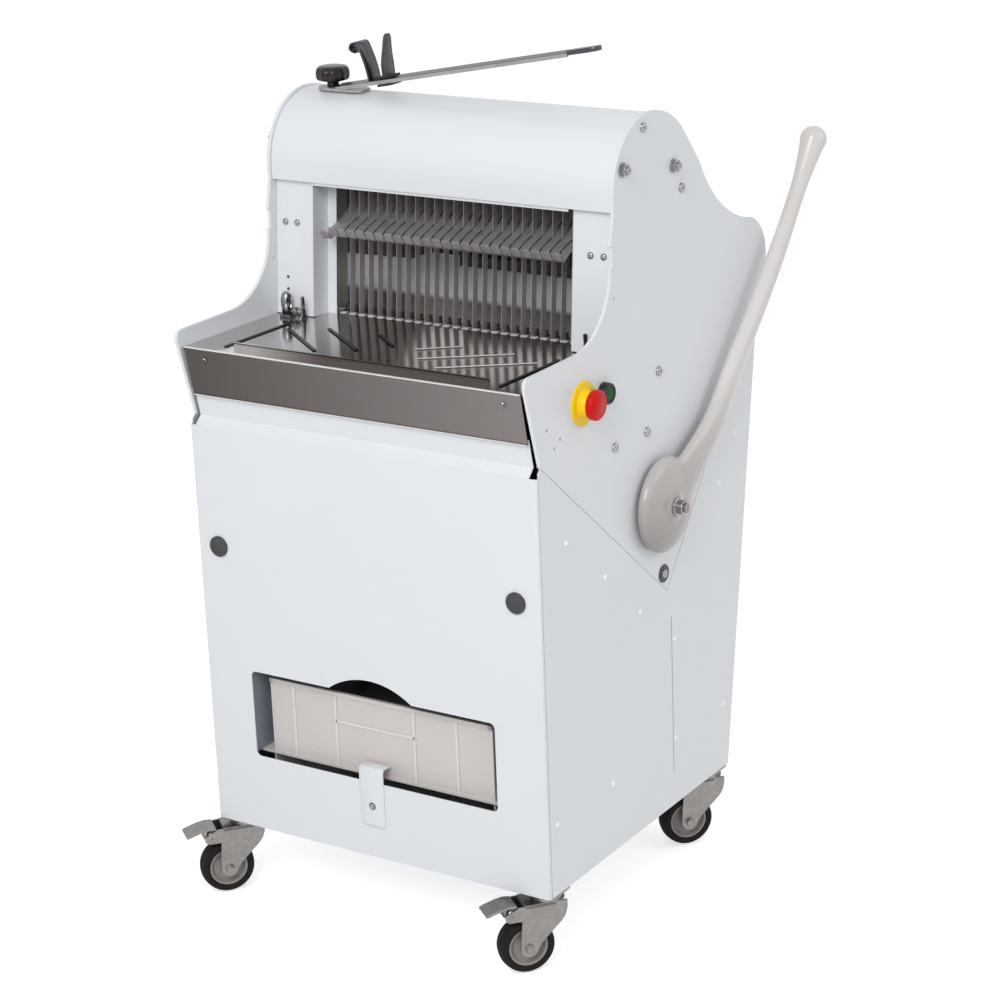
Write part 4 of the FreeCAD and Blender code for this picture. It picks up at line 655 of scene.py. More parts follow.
def buildPostScrews():
    ahead = (0, -1, 0)
    bm = bmesh.new()
    for x in postScrews["across"]:
        for side in (-1, 1):
            place = headPlace @ facing((x * side, 0, postScrews["up"]), ahead)
            addLathe(bm, domeProfile(*postScrews["size"]), place, 32)
    for side in (-1, 1):
        place = facing((apronScrews["across"] * side, apronScrews["y"], apronScrews["z"]), apronScrews["normal"])
        addLathe(bm, domeProfile(*apronScrews["size"]), place, 32)
    seat = (clipScrew["x"], clipScrew["front"], clipScrew["z"])
    addLathe(bm, domeProfile(*clipScrew["size"]), facing(seat, ahead) @ Matrix.Translation((0, 0, -0.1)), 32)
    finishPiece(bm, "panHeadScrews", "chromedSteel", "cabinet", "zinc_steel", smoothAngle=50)
    # Dark discs in the post's holes are painted shade; a dark ring lies under the clip's screw.
    bm = bmesh.new()
    for x, up in postScrews["holes"]:
        addLathe(bm, postScrews["hole"], headPlace @ facing((x, 0, up), ahead), 20)
    addLathe(bm, clipScrew["seat"], facing(seat, ahead), 32)
    finishPiece(bm, "darkHoleAndSeatDiscs", "texturedAbs", "cabinet", "dark_cap")


buildPostScrews()
print("fasteners")


# Domed plastic caps with a shallow dish, pressed into the front sheet.
cap = ((15, 0), (15, 2.2), (14.2, 3.3), (12.5, 3.9), (11.8, 3.6), (11.2, 3.2), (0, 3.0))


def buildCaps():
    bm = bmesh.new()
    for low, high in islands("panel_caps"):
        middle = (low + high) / 2
        addLathe(bm, cap, facing((middle.x, high.y, middle.z), (0, -1, 0)), 56)
    finishPiece(bm, "panelCapsDomed", "texturedAbs", "cabinet", "dark_cap", ("panel_caps",), smoothAngle=45)


controls = {
    "stopY": -134, "startY": -81.5, "z": 785,
    "collar": ((8.2, 0), (30.5, 0), (30.5, 1.2), (29.8, 1.9), (20.2, 2.0), (19, 2.5), (18.2, 3.8), (17.8, 5.5),
               (17.5, 12.4), (16.8, 13.7), (15.8, 14), (8.2, 14), (8.2, 0)),
    "mushroom": ((0, 5.2), (7.8, 5.2), (7.8, 18.6), (18.7, 18.6), (18.8, 15.6), (20, 15.6), (20.5, 16.4),
                 (20.5, 22.6), (20, 24.2), (18.2, 25.8), (16.4, 26.7), (15.9, 26.8), (15.4, 26.4), (14.8, 26.4),
                 (14.2, 26.9), (0, 26.9)),
    "bezel": ((10.1, 0), (14.8, 0), (14.8, 8.6), (14.2, 10.8), (13.2, 12), (11.2, 12), (10.1, 11), (10.1, 0)),
    "button": ((0, 3), (10, 3), (10, 10.3), (9.2, 11.1), (0, 11.5)),
}


def buildControls():
    stop, start = (facing((cabinet["halfWidth"], controls[y], controls["z"]), (1, 0, 0)) for y in ("stopY", "startY"))
    buildTurned("stopCollarMoulded", controls["collar"], stop, 64, "yellowAbs", "cabinet", "yellow_plastic",
                ("stop_collar",), smoothAngle=60)
    buildTurned("stopMushroomMoulded", controls["mushroom"], stop, 64, "redAbs", "stop_button", "red_plastic",
                ("stop_mushroom",), smoothAngle=60)
    buildTurned("startBezelMoulded", controls["bezel"], start, 56, "blackAbs", "cabinet", "black_plastic",
                ("start_bezel",), smoothAngle=60)
    buildTurned("startButtonMoulded", controls["button"], start, 48, "greenAbs", "green_button", "green_plastic",
                ("start_button",))


buildCaps()
buildControls()
print("controls")

clip = {"middle": -4, "halfWidth": 20.4, "gauge": 2, "foot": 163.2, "top": 252, "front": -256.5, "back": -238.8,
        "corner": (0.61, 0.82, 0.896, 0.943, 0.973, 0.992)}


# The strip that keeps the crate in: up the front, then back over the lip.
def buildClip():
    bm = bmesh.new()
    top, front, foot = clip["top"], clip["front"], clip["foot"]
    path = ((top - 1.4, clip["back"]), (top - 0.4, front + 11), (top, front + 6), (top - 0.6, front + 3),
            (top - 2.4, front + 0.9), (top - 5.5, front), (220, front), (200, front), (foot + 7.7, front),
            (foot, front))
    place = Matrix(((0, 1, 0, clip["middle"]), (0, 0, 1, 0), (1, 0, 0, 0), (0, 0, 0, 1)))
    addStrip(bm, path, clip["halfWidth"] * 2, clip["gauge"], place, clip["corner"])
    finishPiece(bm, "clipBent", "powderCoatedSteel", "cabinet", "white_steel", ("tray_clip",), smoothAngle=60)


# The lip, the ledge and the guides belong to the shelf that the crate stands on.
crate = {
    "halfWidth": 187, "front": -238, "length": 405, "base": 254.3, "height": 92, "wall": 3, "skin": 2.5, "tuck": 0.5,
    "uprights": (-145.9, -73.6, 58.7, 129.2), "cross": 302, "rim": 6, "rib": 3.6, "sunk": 0.6, "sideRibs": 7,
    "sideRib": 1.2, "lip": 12, "lipGap": 0.31, "ledgeLow": 230.4, "ledgeHigh": 233.7, "ledgeEnd": 215,
    "cheek": 2, "cheekLow": 118.2, "guide": 206, "guideGauge": 1.5, "guideFront": -253.5, "guideBack": 150,
    "guideTop": 372,
}


# A thin-walled moulded crate: ribs and a rolled rim stand out from the walls.
def buildCrate():
    half, front, skin, tuck = crate["halfWidth"], crate["front"], crate["skin"], crate["tuck"]
    back, low, rim = front + crate["length"], crate["base"], crate["rim"]
    top, inside, cross, rib = low + crate["height"], skin + crate["wall"], crate["cross"], crate["rib"] / 2
    bm = bmesh.new()
    addBox(bm, (-half + skin, front + inside - tuck, low), (half - skin, back - inside + tuck, low + crate["wall"]))
    addBox(bm, (-half, front + skin, low - 0.25), (half, front + inside, top - tuck))
    addBox(bm, (0.4 - half, back - inside, low), (half - 0.4, back - skin, top - tuck))
    addPair(bm, half - skin, half - inside, (front + inside - tuck, low), (back - inside + tuck, top - tuck))
    for y in (front, back - inside):
        addBox(bm, (-half, y, top - rim), (half, y + inside, top))
    addPair(bm, half, half - inside, (front, top - rim), (back, top))
    finishPiece(bm, "ribbedCrate", "mouldedPolypropylene", "tray", "tray_plastic", ("crumb_tray",), 0.12)
    # The ribs take the paler copy of the resin: painted light.
    bm = bmesh.new()
    for y in (front + crate["sunk"], back - skin):
        for x in crate["uprights"]:
            addBox(bm, (x - rib, y, low - 0.25), (x + rib, y + skin - tuck, top - rim))
        left, right = crate["uprights"][1:3]
        addBox(bm, (left, y, cross - rib), (right, y + skin - crate["sunk"], cross + rib))
    for k in range(crate["sideRibs"]):
        y = front + crate["length"] * (k + 0.5) / crate["sideRibs"]
        addPair(bm, half - crate["sunk"], half - skin, (y - crate["sideRib"], low), (y + crate["sideRib"], top - rim))
    finishPiece(bm, "crateRibs", "litRibPolypropylene", "tray", "tray_plastic", (), 0.7)


# The moulded lip that the crate stands on carries its ribs on down; two guides close the sides of the mouth.
def buildShelf():
    half, front, skin, lip, rib = crate["halfWidth"], crate["front"], crate["skin"], crate["lip"], crate["rib"] / 2
    back, ledge = front + crate["length"], crate["ledgeLow"]
    low, high = crate["ledgeHigh"], crate["base"] - crate["lipGap"]
    bm = bmesh.new()
    addBox(bm, (-half, front + skin, low), (half, front + lip, high))
    addBox(bm, (-half, back - lip, low), (half, back, high))
    addPair(bm, half, half - lip, (front + lip, low), (back - lip, high))
    addPair(bm, half, half - crate["cheek"], (front + crate["cheek"], crate["cheekLow"]), (back, ledge))
    addPair(bm, half - lip, crate["ledgeEnd"], (front, ledge), (back, low))
    addBox(bm, (-half + lip, front, ledge), (half - lip, front + lip, low))
    finishPiece(bm, "shelfMoulded", "mouldedPolypropylene", "cabinet", "white_steel", ("tray_shelf",), 0.12)
    # The lip's ribs take the paler copy of the resin too: painted light.
    bm = bmesh.new()
    for x in crate["uprights"]:
        addBox(bm, (x - rib, front + crate["sunk"], low), (x + rib, front + skin + 0.1, high))
    finishPiece(bm, "shelfRibs", "litRibPolypropylene", "cabinet", "white_steel", (), 0.7)
    bm = bmesh.new()
    addPair(bm, crate["guide"], crate["guide"] + crate["guideGauge"], (crate["guideFront"], low + 0.2),
            (crate["guideBack"], crate["guideTop"]))
    finishPiece(bm, "mouthGuides", "galvanisedSheet", "cabinet", "white_steel")


buildClip()
buildCrate()
buildShelf()
print("clip, crate and shelf")

bagArm = {
    "left": -227, "back": 50, "footLow": 1133.3, "gauge": 4, "rise": 10.4, "length": 440, "width": 30, "high": 8,
    "tip": 50, "strip": 2.5, "tipTaper": (0.45, 0.72, 0.86, 0.94, 0.98),
    "prongTaper": (0.3, 0.5, 0.6, 0.66, 0.72, 0.78, 0.84, 0.9, 0.94, 0.97),
    "slideTaper": (0.25, 0.45, 0.56, 0.61, 0.64, 0.66, 0.68, 0.7, 0.73, 0.76, 0.79, 0.82, 0.85, 0.88, 0.91, 0.94,
                   0.97),
    "bend": (-121, 1, 181), "bendTurns": (0, 5, 10, 16), "curl": (45.3, 50.7, 8, 50, 232, 5),
    "collar": (((75, -17.5, 4.4), (98, 9.5, 7.8)), ((75, -17.5, -6.2), (98, 9.5, -3.3)),
               ((75, 6.6, -5.6), (98, 9.5, 7))),
    "prongAt": (85.5, 0, 7), "prong": ((0, 0), (-1.4, 14), (-1.6, 28), (-0.8, 42), (0, 58)),
    "flutes": 10, "fluteDip": 0.05, "fluteFrom": 20,
    "knob": ((0, -3.8), (4.9, -3.8), (4.9, 0), (8.5, 0), (8.5, 6), (9.4, 8), (13, 8.8), (19, 9), (22.6, 10.2),
             (24.6, 13.2), (25, 17), (24.8, 22), (23.2, 25.8), (19.6, 28.4), (14, 29.5), (0, 29.7)),
}
armPlace = (Matrix.Translation((bagArm["left"] + 14, bagArm["back"], bagArm["footLow"] + bagArm["gauge"] - 0.2))
            @ Matrix.Rotation(math.radians(-bagArm["rise"]), 4, "Y"))


# A section of (y, z) run along the arm as far as its rounded tip.
def alongArm(bm, section):
    addSlab(bm, section, bagArm["length"] - bagArm["tip"], armPlace @ alongX(0))


def buildBagArm():
    width, gauge, length, high = bagArm["width"], bagArm["gauge"], bagArm["length"], bagArm["high"]
    half, strip = width / 2, bagArm["strip"]
    bm = bmesh.new()
    foot = Matrix.Translation((bagArm["left"], bagArm["back"], bagArm["footLow"]))
    outline = arcPoints(-6, 0, 16, 90, 270) + [(44, -16), (56, -11), (56, 11), (44, 16)]
    addSlab(bm, outline, gauge, foot)
    alongArm(bm, [(-half - 0.1, -3), (-half - 0.1, 2.2), (strip - half, 2.2), (strip - half, -3)])
    finishPiece(bm, "bagArmFlange", "springStrip", "bag_bar", "stainless", ("bag_arm",), 0.3, smoothAngle=50)
    # The arm's top, bend and curl take the darker strip: painted shade on the top.
    bm = bmesh.new()
    alongArm(bm, [(-half, 1.6), (-half, 2.8), (4, high - 2.6), (4, high - 4.6), (strip - half, 0.4)])
    addStrip(bm, ((length - bagArm["tip"], 2.2), (length - 24, 2.2), (length - 4, 2.2)), 22, 6.4,
             armPlace @ Matrix.Translation((0, -4.4, 0)), bagArm["tipTaper"])
    x, z, radius = bagArm["bend"]
    turns = [math.radians(turn) for turn in bagArm["bendTurns"]]
    bend = [(x + radius * math.cos(turn), z + radius * math.sin(turn)) for turn in turns]
    addStrip(bm, bend + arcPoints(*bagArm["curl"]), width, strip, armPlace, bagArm["prongTaper"])
    finishPiece(bm, "bagArmTop", "darkSpringStrip", "bag_bar", "stainless", (), 0.0, smoothAngle=50)
    bm = bmesh.new()
    for low, high in bagArm["collar"]:
        addBox(bm, low, high, armPlace)
    finishPiece(bm, "prongCollar", "blackAbs", "bag_prong", "black_plastic", (), 0.8)
    bm = bmesh.new()
    lean = armPlace @ Matrix.Translation(bagArm["prongAt"]) @ Matrix.Rotation(math.radians(bagArm["rise"]), 4, "Y")
    addStrip(bm, bagArm["prong"], width, strip, lean, bagArm["slideTaper"])
    finishPiece(bm, "uprightProng", "darkSpringStrip", "bag_prong", "stainless", ("sliding_prong",), smoothAngle=50)
    bm = bmesh.new()
    addLathe(bm, bagArm["knob"], foot @ Matrix.Translation((0, 0, gauge + 0.3)), 96)
    for vert in bm.verts:
        x, y = vert.co.x - bagArm["left"], vert.co.y - bagArm["back"]
        if math.hypot(x, y) > bagArm["fluteFrom"]:
            dip = 1 - bagArm["fluteDip"] * (0.5 + 0.5 * math.cos(bagArm["flutes"] * math.atan2(y, x)))
            vert.co.x, vert.co.y = bagArm["left"] + x * dip, bagArm["back"] + y * dip
    finishPiece(bm, "clampKnobTurned", "mouldedPhenolic", "bag_knob", "black_plastic", ("clamp_knob",),
                smoothAngle=60)


buildBagArm()
print("bag arm")

castor = {
    "swivel": -39, "trail": 32, "wheel": 40, "legInner": 17, "gauge": 2.5, "crownLow": 100.5, "crownTop": 105.5,
    "eye": 12.5, "pedalPin": (-57, 91), "across": 258, "along": 226.5,
    "holes": 5, "holeRadius": 16.5, "holeDeep": 6.9, "hole": ((2.6, 0), (2.3, 0.7), (0, 0.75)),
    "hub": mirrored(((4.1, -13), (9, -13), (11, -11.5), (12, -7.5), (21, -7), (23.5, -9), (25, -12.6), (28, -13))),
    "tyre": mirrored(((28.2, -13), (31, -14.6), (34, -15), (36.5, -14), (38.4, -11), (39.4, -6), (38.3, -5.5),
                      (38.3, -4.6), (39.7, -4.1)), ((40, 0),)),
    "washer": rod(7.6, 1),
}


# The fork: two pressed legs with a rounded eye round the axle, under a crown. A braked one has a nose for its pedal.
def buildFork(name, place, braked):
    eyeY, eyeZ = -castor["trail"], castor["wheel"]
    gauge, inner, eye, top = castor["gauge"], castor["legInner"], castor["eye"], castor["crownTop"] - 1
    outer = inner + gauge
    bm = bmesh.new()
    backEdge = smoothedFlat([(24, top), (23.5, 92), (18, 78), (2, 62), (-12, 48), (eyeY + eye, eyeZ - 1)])
    pinY, pinZ = castor["pedalPin"]
    nose = [(pinY, 83.5)] + arcPoints(pinY - 1, pinZ, 7.5, -90, -215, 8) + [(-46, 104)] if braked else [(-39, 96)]
    frontEdge = [(-43.5, 62), (-41.5, 83)] + nose + [(-36, top)]
    outline = backEdge + arcPoints(eyeY, eyeZ, eye, 0, -180, 10)[1:] + frontEdge
    for start in (-outer, inner):
        addSlab(bm, outline, gauge, place @ alongX(start))
    crown = [(-outer, -36), (outer, -36), (outer, 8)] + arcPoints(0, 6, outer, 5, 175, 10) + [(-outer, 8)]
    low = castor["crownLow"]
    addSlab(bm, crown, castor["crownTop"] - low, place @ Matrix.Translation((0, 0, low)))
    for side in (-1, 1):
        bolt = place @ facing((side * outer, eyeY, eyeZ), (side, 0, 0))
        addLathe(bm, castor["washer"], bolt, 32)
        hexRing(bm, 6.3, 4.6, bolt)
        if braked:
            addLathe(bm, domeProfile(3.4, 2.0), place @ facing((side * outer, pinY, pinZ), (side, 0, 0)), 20)
    finishPiece(bm, name + "ForkPressed", "zincPlatedSteel", name + "_swivel_body", "zinc_steel",
                (name + "_fork",), 0.7)


def buildWheel(name, place):
    spin = place @ facing((0, -castor["trail"], castor["wheel"]), (1, 0, 0))
    bm = bmesh.new()
    addLathe(bm, castor["hub"], spin, 56)
    for k in range(castor["holes"]):
        turn = Matrix.Rotation(math.radians(360 / castor["holes"] * k + 10), 4, "Z")
        for side in (-1, 1):
            hole = spin @ turn @ Matrix.Translation((castor["holeRadius"], 0, side * castor["holeDeep"]))
            addLathe(bm, castor["hole"], hole @ Matrix.Scale(side, 4, (0, 0, 1)), 16)
    finishPiece(bm, name + "WheelMoulded", "mouldedNylon", name + "_wheel_body", "hub_grey", (name + "_wheel",), 0.4)
    buildTurned(name + "TyreMoulded", castor["tyre"], spin, 72, "mouldedRubber", name + "_wheel_body", "tyre_rubber",
                (name + "_tyre",), smoothAngle=50)


pedal = {"hinge": (-50, 97.5), "halfWidth": 17, "length": 44, "tip": 2.5, "ribs": 5, "ribPitch": 5.2,
         "ribRadius": 0.9, "fall": 0.25, "claw": 8, "tube": 4.6, "tubeHalf": 16.5}


# A ribbed tread on a hinge tube, with a claw that reaches in to the wheel.
def buildPedal(name, place):
    half, tip, reach = pedal["halfWidth"], pedal["tip"] - pedal["length"], pedal["tubeHalf"]
    bm = bmesh.new()
    hinge = place @ Matrix.Translation((0, *pedal["hinge"]))
    tread = [(2, 5.5), (2, 9), (-8, 10), (-20, 8), (tip + 3, 2.6), (tip, 0.8), (tip, -1.2), (tip + 4, -0.8),
             (-20, 4.6), (-8, 6.4)]
    addSlab(bm, tread, half * 2, hinge @ alongX(-half))
    for k in range(pedal["ribs"]):
        drop = k * pedal["ribPitch"]
        rib = hinge @ Matrix.Translation((3 - half, -14 - drop, 8.2 - drop * pedal["fall"]))
        addLathe(bm, rod(pedal["ribRadius"], half * 2 - 6), rib @ Matrix.Rotation(math.pi / 2, 4, "Y"), 10)
    claw = (smoothedFlat([(1, 5), (-5, 4), (-10, 0), (-12, -6), (-15, -8.5)])
            + smoothedFlat([(-13.5, -10.5), (-9, -8), (-6, -2), (0, 0)]))
    addSlab(bm, claw, pedal["claw"] * 2, hinge @ alongX(-pedal["claw"]))
    addLathe(bm, rod(pedal["tube"], reach * 2), hinge @ facing((-reach, 0, 0), (1, 0, 0)), 28)
    finishPiece(bm, name + "PedalPressed", "zincPlatedSteel", name + "_pedal_body", "zinc_steel",
                (name + "_pedal",), 0.5)


for end, along in (("front", -castor["along"]), ("rear", castor["along"])):
    for side, across in (("left", -castor["across"]), ("right", castor["across"])):
        name = f"{end}_{side}"
        place = Matrix.Translation((across, along, 0)) @ Matrix.Rotation(math.radians(castor["swivel"]), 4, "Z")
        buildFork(name, place, end == "front")
        buildWheel(name, place)
        if end == "front":
            buildPedal(name, place)
print("castors")


latch = {
    "x": -250, "y": -60, "table": 824.8, "loop": (0, 22, 12.5, -60, 240, 18), "wire": (5, 3), "loopLean": 0.55,
    "fin": ((-9, 0), (9, 0), (4, 6), (2, 32), (-2, 32), (-4, 6)), "finX": -223, "pinZ": 834,
    "pin": rod(4, 18), "collar": ((0, 0), (6.3, 0), (6.3, 5), (4, 6), (0, 6)),
    "grip": ((0, 0), (6, 0), (6, 4), (3.2, 6), (2.6, 20), (3.2, 30), (0, 32)), "gripX": 244.5,
}


# The catch on the table's left edge and the small black lever on its right.
def buildLatches():
    x, y, table, pinZ = latch["x"], latch["y"], latch["table"], latch["pinZ"]
    wide, thick = latch["wire"]
    bm = bmesh.new()
    rings = []
    for a, b in arcPoints(*latch["loop"]):
        out = Vector((a, b - latch["loop"][1])).normalized() * thick
        centre = Vector((x, y + a * latch["loopLean"], table - 0.2 + b))
        rings.append([centre + Vector((wide * math.cos(turn), out.x * math.sin(turn) * latch["loopLean"],
                                       out.y * math.sin(turn))) for turn in turnsOf(12)])
    addRings(bm, rings)
    addBox(bm, (x - 9, y - 7, table), (x + 9, y + 7, table + 4.2))
    addSlab(bm, latch["fin"], 3, Matrix.Translation((0, y, table)) @ alongX(latch["finX"]))
    addLathe(bm, latch["pin"], facing((x + 9, y, pinZ), (1, 0, 0)), 24)
    addLathe(bm, latch["collar"], facing((x + 14, y, pinZ), (1, 0, 0)), 28)
    finishPiece(bm, "tableCatch", "chromedSteel", "cabinet", "zinc_steel", ("table_latches",), 0.5)
    bm = bmesh.new()
    addBox(bm, (x - 6, y - 4, 829), (x + 6, y + 4, 836))
    addBox(bm, (x - 6, y - 5.5, 846), (x + 6, y, 852))
    addLathe(bm, latch["grip"], facing((latch["gripX"], y, table + 0.1), (0, 0, 1)), 24)
    finishPiece(bm, "catchInserts", "blackAbs", "cabinet", "black_plastic", (), 0.4)


trim = {
    "seamY": 91, "seamLow": 168, "seamHigh": 408, "seamHalf": 0.5, "seamDeep": 0.6, "seamProud": 0.25, "pinX": 314.2,
    "washer": ((7.2, 0), (13.5, 0), (13.5, 1.4), (12.5, 2.2), (7.2, 2.2), (7.2, 0)),
    "nut": ((6.6, 2), (10.2, 2), (10.2, 11.2), (9.4, 12.2), (6.6, 12.2), (6.6, 2)),
    "apronHalf": 271, "apronEdges": (((-269.4, 829.8), (-266.4, 831.4)), ((-255.8, 759.2), (-253.4, 760.4))),
}


# The fold line in the side sheet, the washer and nut on the lever's pivot pin, and strips along the apron's top and
# lower edges, painted near white as fine bright lines: painted highlights.
def buildTrim():
    half, y, wide = cabinet["halfWidth"], trim["seamY"], trim["seamHalf"]
    bm = bmesh.new()
    addPair(bm, half - trim["seamDeep"], half + trim["seamProud"], (y - wide, trim["seamLow"]),
            (y + wide, trim["seamHigh"]))
    finishPiece(bm, "sheetSeams", "mouldedNylon", "cabinet", "hub_grey")
    bm = bmesh.new()
    pin = facing((trim["pinX"], *lever["centre"][1:]), (1, 0, 0))
    for profile in (trim["washer"], trim["nut"]):
        addLathe(bm, profile, pin, 40)
    finishPiece(bm, "pivotNut", "chromedSteel", "lever", "zinc_steel", (), 0.3)
    bm = bmesh.new()
    for low, high in trim["apronEdges"]:
        addBox(bm, (-trim["apronHalf"], *low), (trim["apronHalf"], *high))
    finishPiece(bm, "apronEdges", "highlightStainless", "cabinet", "stainless", (), 0.3)


buildLatches()
buildTrim()

lining = {
    "liner": ((98, 882), (300, 826), (340, 826), (340, 915), (262, 955), (180, 1005), (150, 1005), (112, 940)),
    "linerX": 275.6, "gauge": 1.2, "hoodFront": (56, 1037, 93.6), "hoodBack": (56, 1011, 119.6), "hoodHalf": 276,
    "rearStrip": ((174, 955), (175.2, 1014)), "guard": (182, 276.5), "guardEnds": ((350, 823.6), (351.5, 924)),
    "backing": ((-188, 331, 834), (188, 332.2, 928)), "lipBox": ((-209, -36.8, 1013.4), (209, -35.4, 1018.6)),
    "tongue": 10.6, "tongueEnds": ((-5, 821.2), (1.2, 824.2)), "pitch": 16, "slots": 24, "slot": 6,
    "slotEnds": ((12.4, 822), (17.6, 831)), "well": ((-206, 1.6, 819), (206, 19.6, 821.5)),
    "shelf": (206, 276), "shelfEnds": ((-3.9, 821.6), (19.8, 823)),
    "frontY": -265, "rearY": -4, "tableFront": 830.5, "tableRear": 824.5,
    "lips": (((98, -202), (205, -118)), ((50, -172), (153, -93)), ((18, -132), (68, -90))),
    "shades": (((-205, -118), (-98, -202)), ((-153, -93), (-50, -172)), ((-68, -90), (-18, -132)),
               ((-223, -240), (-223, -92)), ((223, -240), (223, -92))),
}


# A low bead along a slot of the table, following its fall.
def addBead(bm, ends, halfWide, beside, high):
    low, far = (Vector((x, y, 0)) for x, y in ends)
    along = (far - low).normalized()
    across, shift = Vector((-along.y, along.x, 0)) * halfWide, Vector((along.y, -along.x, 0)) * beside
    fall = (lining["tableFront"] - lining["tableRear"]) / (lining["rearY"] - lining["frontY"])
    rings = []
    for spot in (low, far):
        z = lining["tableFront"] - fall * (spot.y - lining["frontY"])
        rings.append([spot + shift + across * c + Vector((0, 0, z + h)) for c, h in
                      ((-1, -0.4), (-1, high * 0.4), (-0.5, high), (0.5, high), (1, high * 0.4), (1, -0.4))])
    addRings(bm, rings)


# Dark sheets on the plates and under the hood, a strip above the loaf and guards at the rear corners: painted shade
# inside the head. A dark backing behind the comb is painted shade too.
def buildHeadShadeLining():
    bm = bmesh.new()
    for start in (-lining["linerX"] - lining["gauge"], lining["linerX"]):
        addSlab(bm, lining["liner"], lining["gauge"], alongX(start))
    outer, inner = [], []
    for drop, path in ((0, outer), (1, inner)):
        for (y, z, radius), start, end in ((lining["hoodBack"], 2, 84), (lining["hoodFront"], 96, 184)):
            path += arcPoints(y, z, radius - drop, start, end, 14)
    wide = lining["hoodHalf"]
    addSlab(bm, outer + inner[::-1], wide * 2, alongX(-wide))
    low, high = lining["rearStrip"]
    addBox(bm, (-wide, *low), (wide, *high))
    addPair(bm, *lining["guard"], *lining["guardEnds"])
    finishPiece(bm, "headShadeLining", "paintedShadeSteel", "cabinet", "white_steel")
    bm = bmesh.new()
    addBox(bm, *lining["backing"])
    finishPiece(bm, "combShadeBacking", "paintedShadeSteel", "pusher", "stainless", (), 0.2)


# Along the table's back edge are tongues between the blades, painted near white as painted highlights, with dark
# boxes in the slots behind them as painted shade; beads, also painted near white, edge the slots in the table, and
# black strips in the slots are painted shade.
def buildTableEdge():
    tongues, slots = bmesh.new(), bmesh.new()
    half, halfSlot = lining["tongue"] / 2, lining["slot"] / 2
    for k in range(lining["slots"] + 1):
        x = (k - lining["slots"] / 2) * lining["pitch"]
        low, high = lining["tongueEnds"]
        addBox(tongues, (x - half, *low), (x + half, *high))
        if k < lining["slots"]:
            x += lining["pitch"] / 2
            low, high = lining["slotEnds"]
            addBox(slots, (x - halfSlot, *low), (x + halfSlot, *high))
    addBox(slots, *lining["well"])
    addPair(tongues, *lining["shelf"], *lining["shelfEnds"])
    for ends in lining["lips"]:
        addBead(tongues, ends, 1.1, 2.6, 0.7)
    finishPiece(tongues, "tableTongues", "highlightStainless", "cabinet", "mirror_steel", (), 0.4)
    # Black strips in the table's slots: painted shade in them.
    bm = bmesh.new()
    for ends in lining["shades"]:
        addBead(bm, ends, 2.5, 0, 0.3)
    finishPiece(bm, "slotShadeStrips", "blackAbs", "cabinet", "black_plastic")
    bm = bmesh.new()
    addBox(bm, *lining["lipBox"])
    finishPiece(bm, "hoodLip", "powderCoatedSteel", "cabinet", "white_steel", (), 0.3)
    finishPiece(slots, "bladeSlotShades", "paintedShadeSteel", "cabinet", "black_plastic")


buildHeadShadeLining()
buildTableEdge()
print("catches, trim and lining")

# Places are in metres here.
view = {"place": (2.0687, -3.0774, 1.8214), "right": (0.84356, 0.53578, -0.03669),
        "ahead": (-0.51771, 0.79315, -0.32076), "lensMm": 98.87, "sensorMm": 36, "farEnd": 60}


def buildCamera():
    camera = bpy.data.objects.new("camera", bpy.data.cameras.new("camera"))
    camera.data.lens = view["lensMm"]
    camera.data.sensor_width = view["sensorMm"]
    camera.data.clip_end = view["farEnd"]
    right, ahead = Vector(view["right"]).normalized(), Vector(view["ahead"]).normalized()
    up = right.cross(ahead)
    turn = Matrix((right, up, -ahead)).transposed().to_4x4()
    camera.matrix_world = Matrix.Translation(view["place"]) @ turn
    bpy.context.scene.collection.objects.link(camera)
    bpy.context.scene.camera = camera


# Each lamp has its place and size in metres and its power in watts, and looks at a point above the floor.
light = {"sky": 0.53, "floorGlow": 0.62, "floorHalf": 12, "aimUp": 0.6,
         "lamps": (("key", (0.85, -3.05, 2.95), 1.8, 69), ("rear", (3.3, 1.6, 2.6), 2.0, 20))}


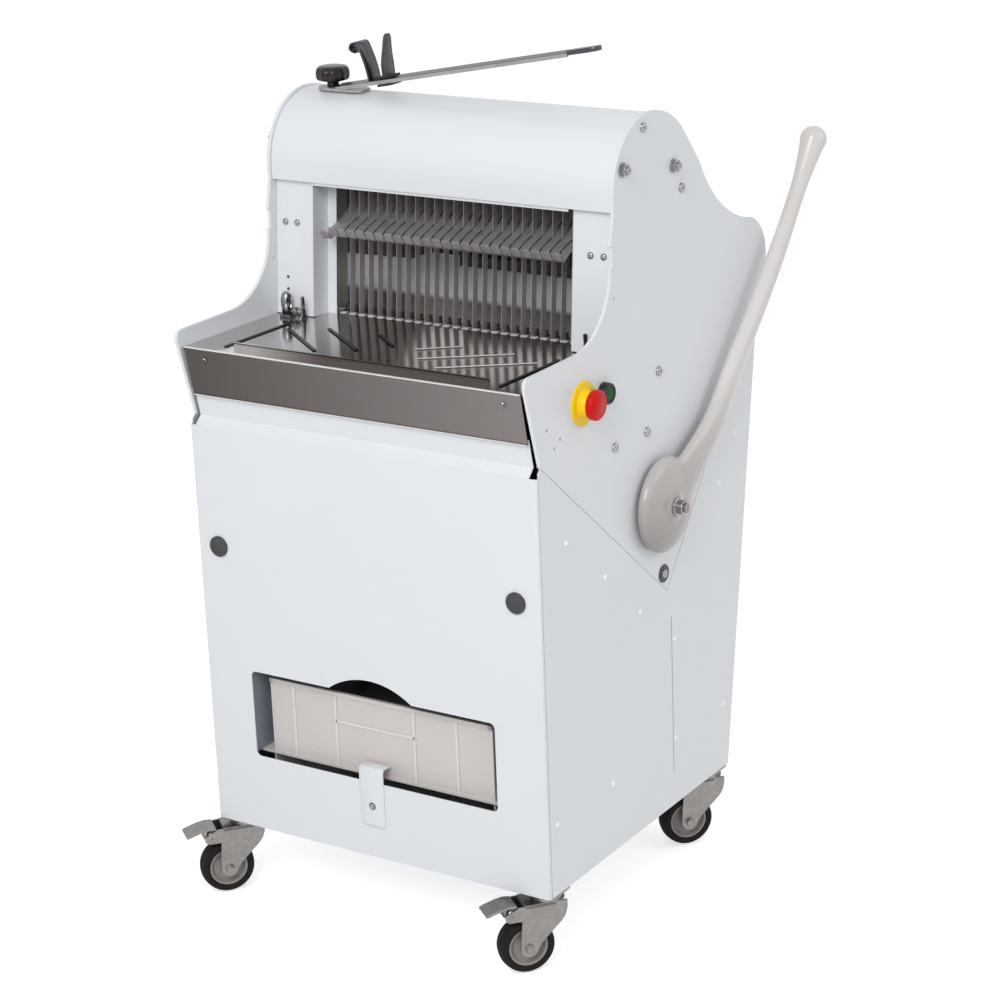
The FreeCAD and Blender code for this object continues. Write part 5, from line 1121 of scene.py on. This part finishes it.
# One where the camera, a mirror or clear stuff looks straight at a surface, else nought.
def seenDirectly(tree):
    path = addNode(tree, "ShaderNodeLightPath")
    either = addNode(tree, "ShaderNodeMath", {"operation": "MAXIMUM"},
                     {0: path.outputs["Is Camera Ray"], 1: path.outputs["Is Glossy Ray"]})
    return addNode(tree, "ShaderNodeMath", {"operation": "MAXIMUM"},
                   {0: either.outputs[0], 1: path.outputs["Is Transmission Ray"]}).outputs[0]


def buildStudio():
    world = bpy.data.worlds.new("studio")
    bpy.context.scene.world = world
    world.use_nodes = True
    tree = world.node_tree
    tree.nodes.clear()
    seen = seenDirectly(tree)
    strength = addNode(tree, "ShaderNodeMapRange", {"To Min": light["sky"], "To Max": 1.0}, {"Value": seen})
    sky = addNode(tree, "ShaderNodeBackground", {"Color": (1, 1, 1, 1)}, {"Strength": strength.outputs["Result"]})
    addNode(tree, "ShaderNodeOutputWorld", {}, {"Surface": sky.outputs["Background"]})
    bm = bmesh.new()
    bmesh.ops.create_grid(bm, x_segments=4, y_segments=4, size=light["floorHalf"])
    floorMesh = bpy.data.meshes.new("floor")
    bm.to_mesh(floorMesh)
    bm.free()
    floor = bpy.data.objects.new("floor", floorMesh)
    bpy.context.scene.collection.objects.link(floor)
    paper = bpy.data.materials.new("mattPaper")
    paper.use_nodes = True
    tree = paper.node_tree
    tree.nodes.clear()
    base = addNode(tree, "ShaderNodeBsdfDiffuse", {"Color": fromHex("#e6e6e6")})
    glow = addNode(tree, "ShaderNodeEmission", {"Color": (1, 1, 1, 1), "Strength": light["floorGlow"]})
    bright = addNode(tree, "ShaderNodeAddShader", {}, {0: base.outputs[0], 1: glow.outputs[0]})
    pick = addNode(tree, "ShaderNodeMixShader", {}, {0: seenDirectly(tree), 1: base.outputs[0], 2: bright.outputs[0]})
    addNode(tree, "ShaderNodeOutputMaterial", {}, {"Surface": pick.outputs[0]})
    floor.data.materials.append(paper)
    for name, place, size, power in light["lamps"]:
        lamp = bpy.data.lights.new(name, "AREA")
        lamp.shape = "SQUARE"
        lamp.size = size
        lamp.energy = power
        holder = bpy.data.objects.new(name, lamp)
        holder.matrix_world = facing(place, Vector(place) - Vector((0, 0, light["aimUp"])))
        bpy.context.scene.collection.objects.link(holder)
    bpy.context.scene.view_settings.view_transform = "Standard"


buildCamera()
buildStudio()
print("camera and light")
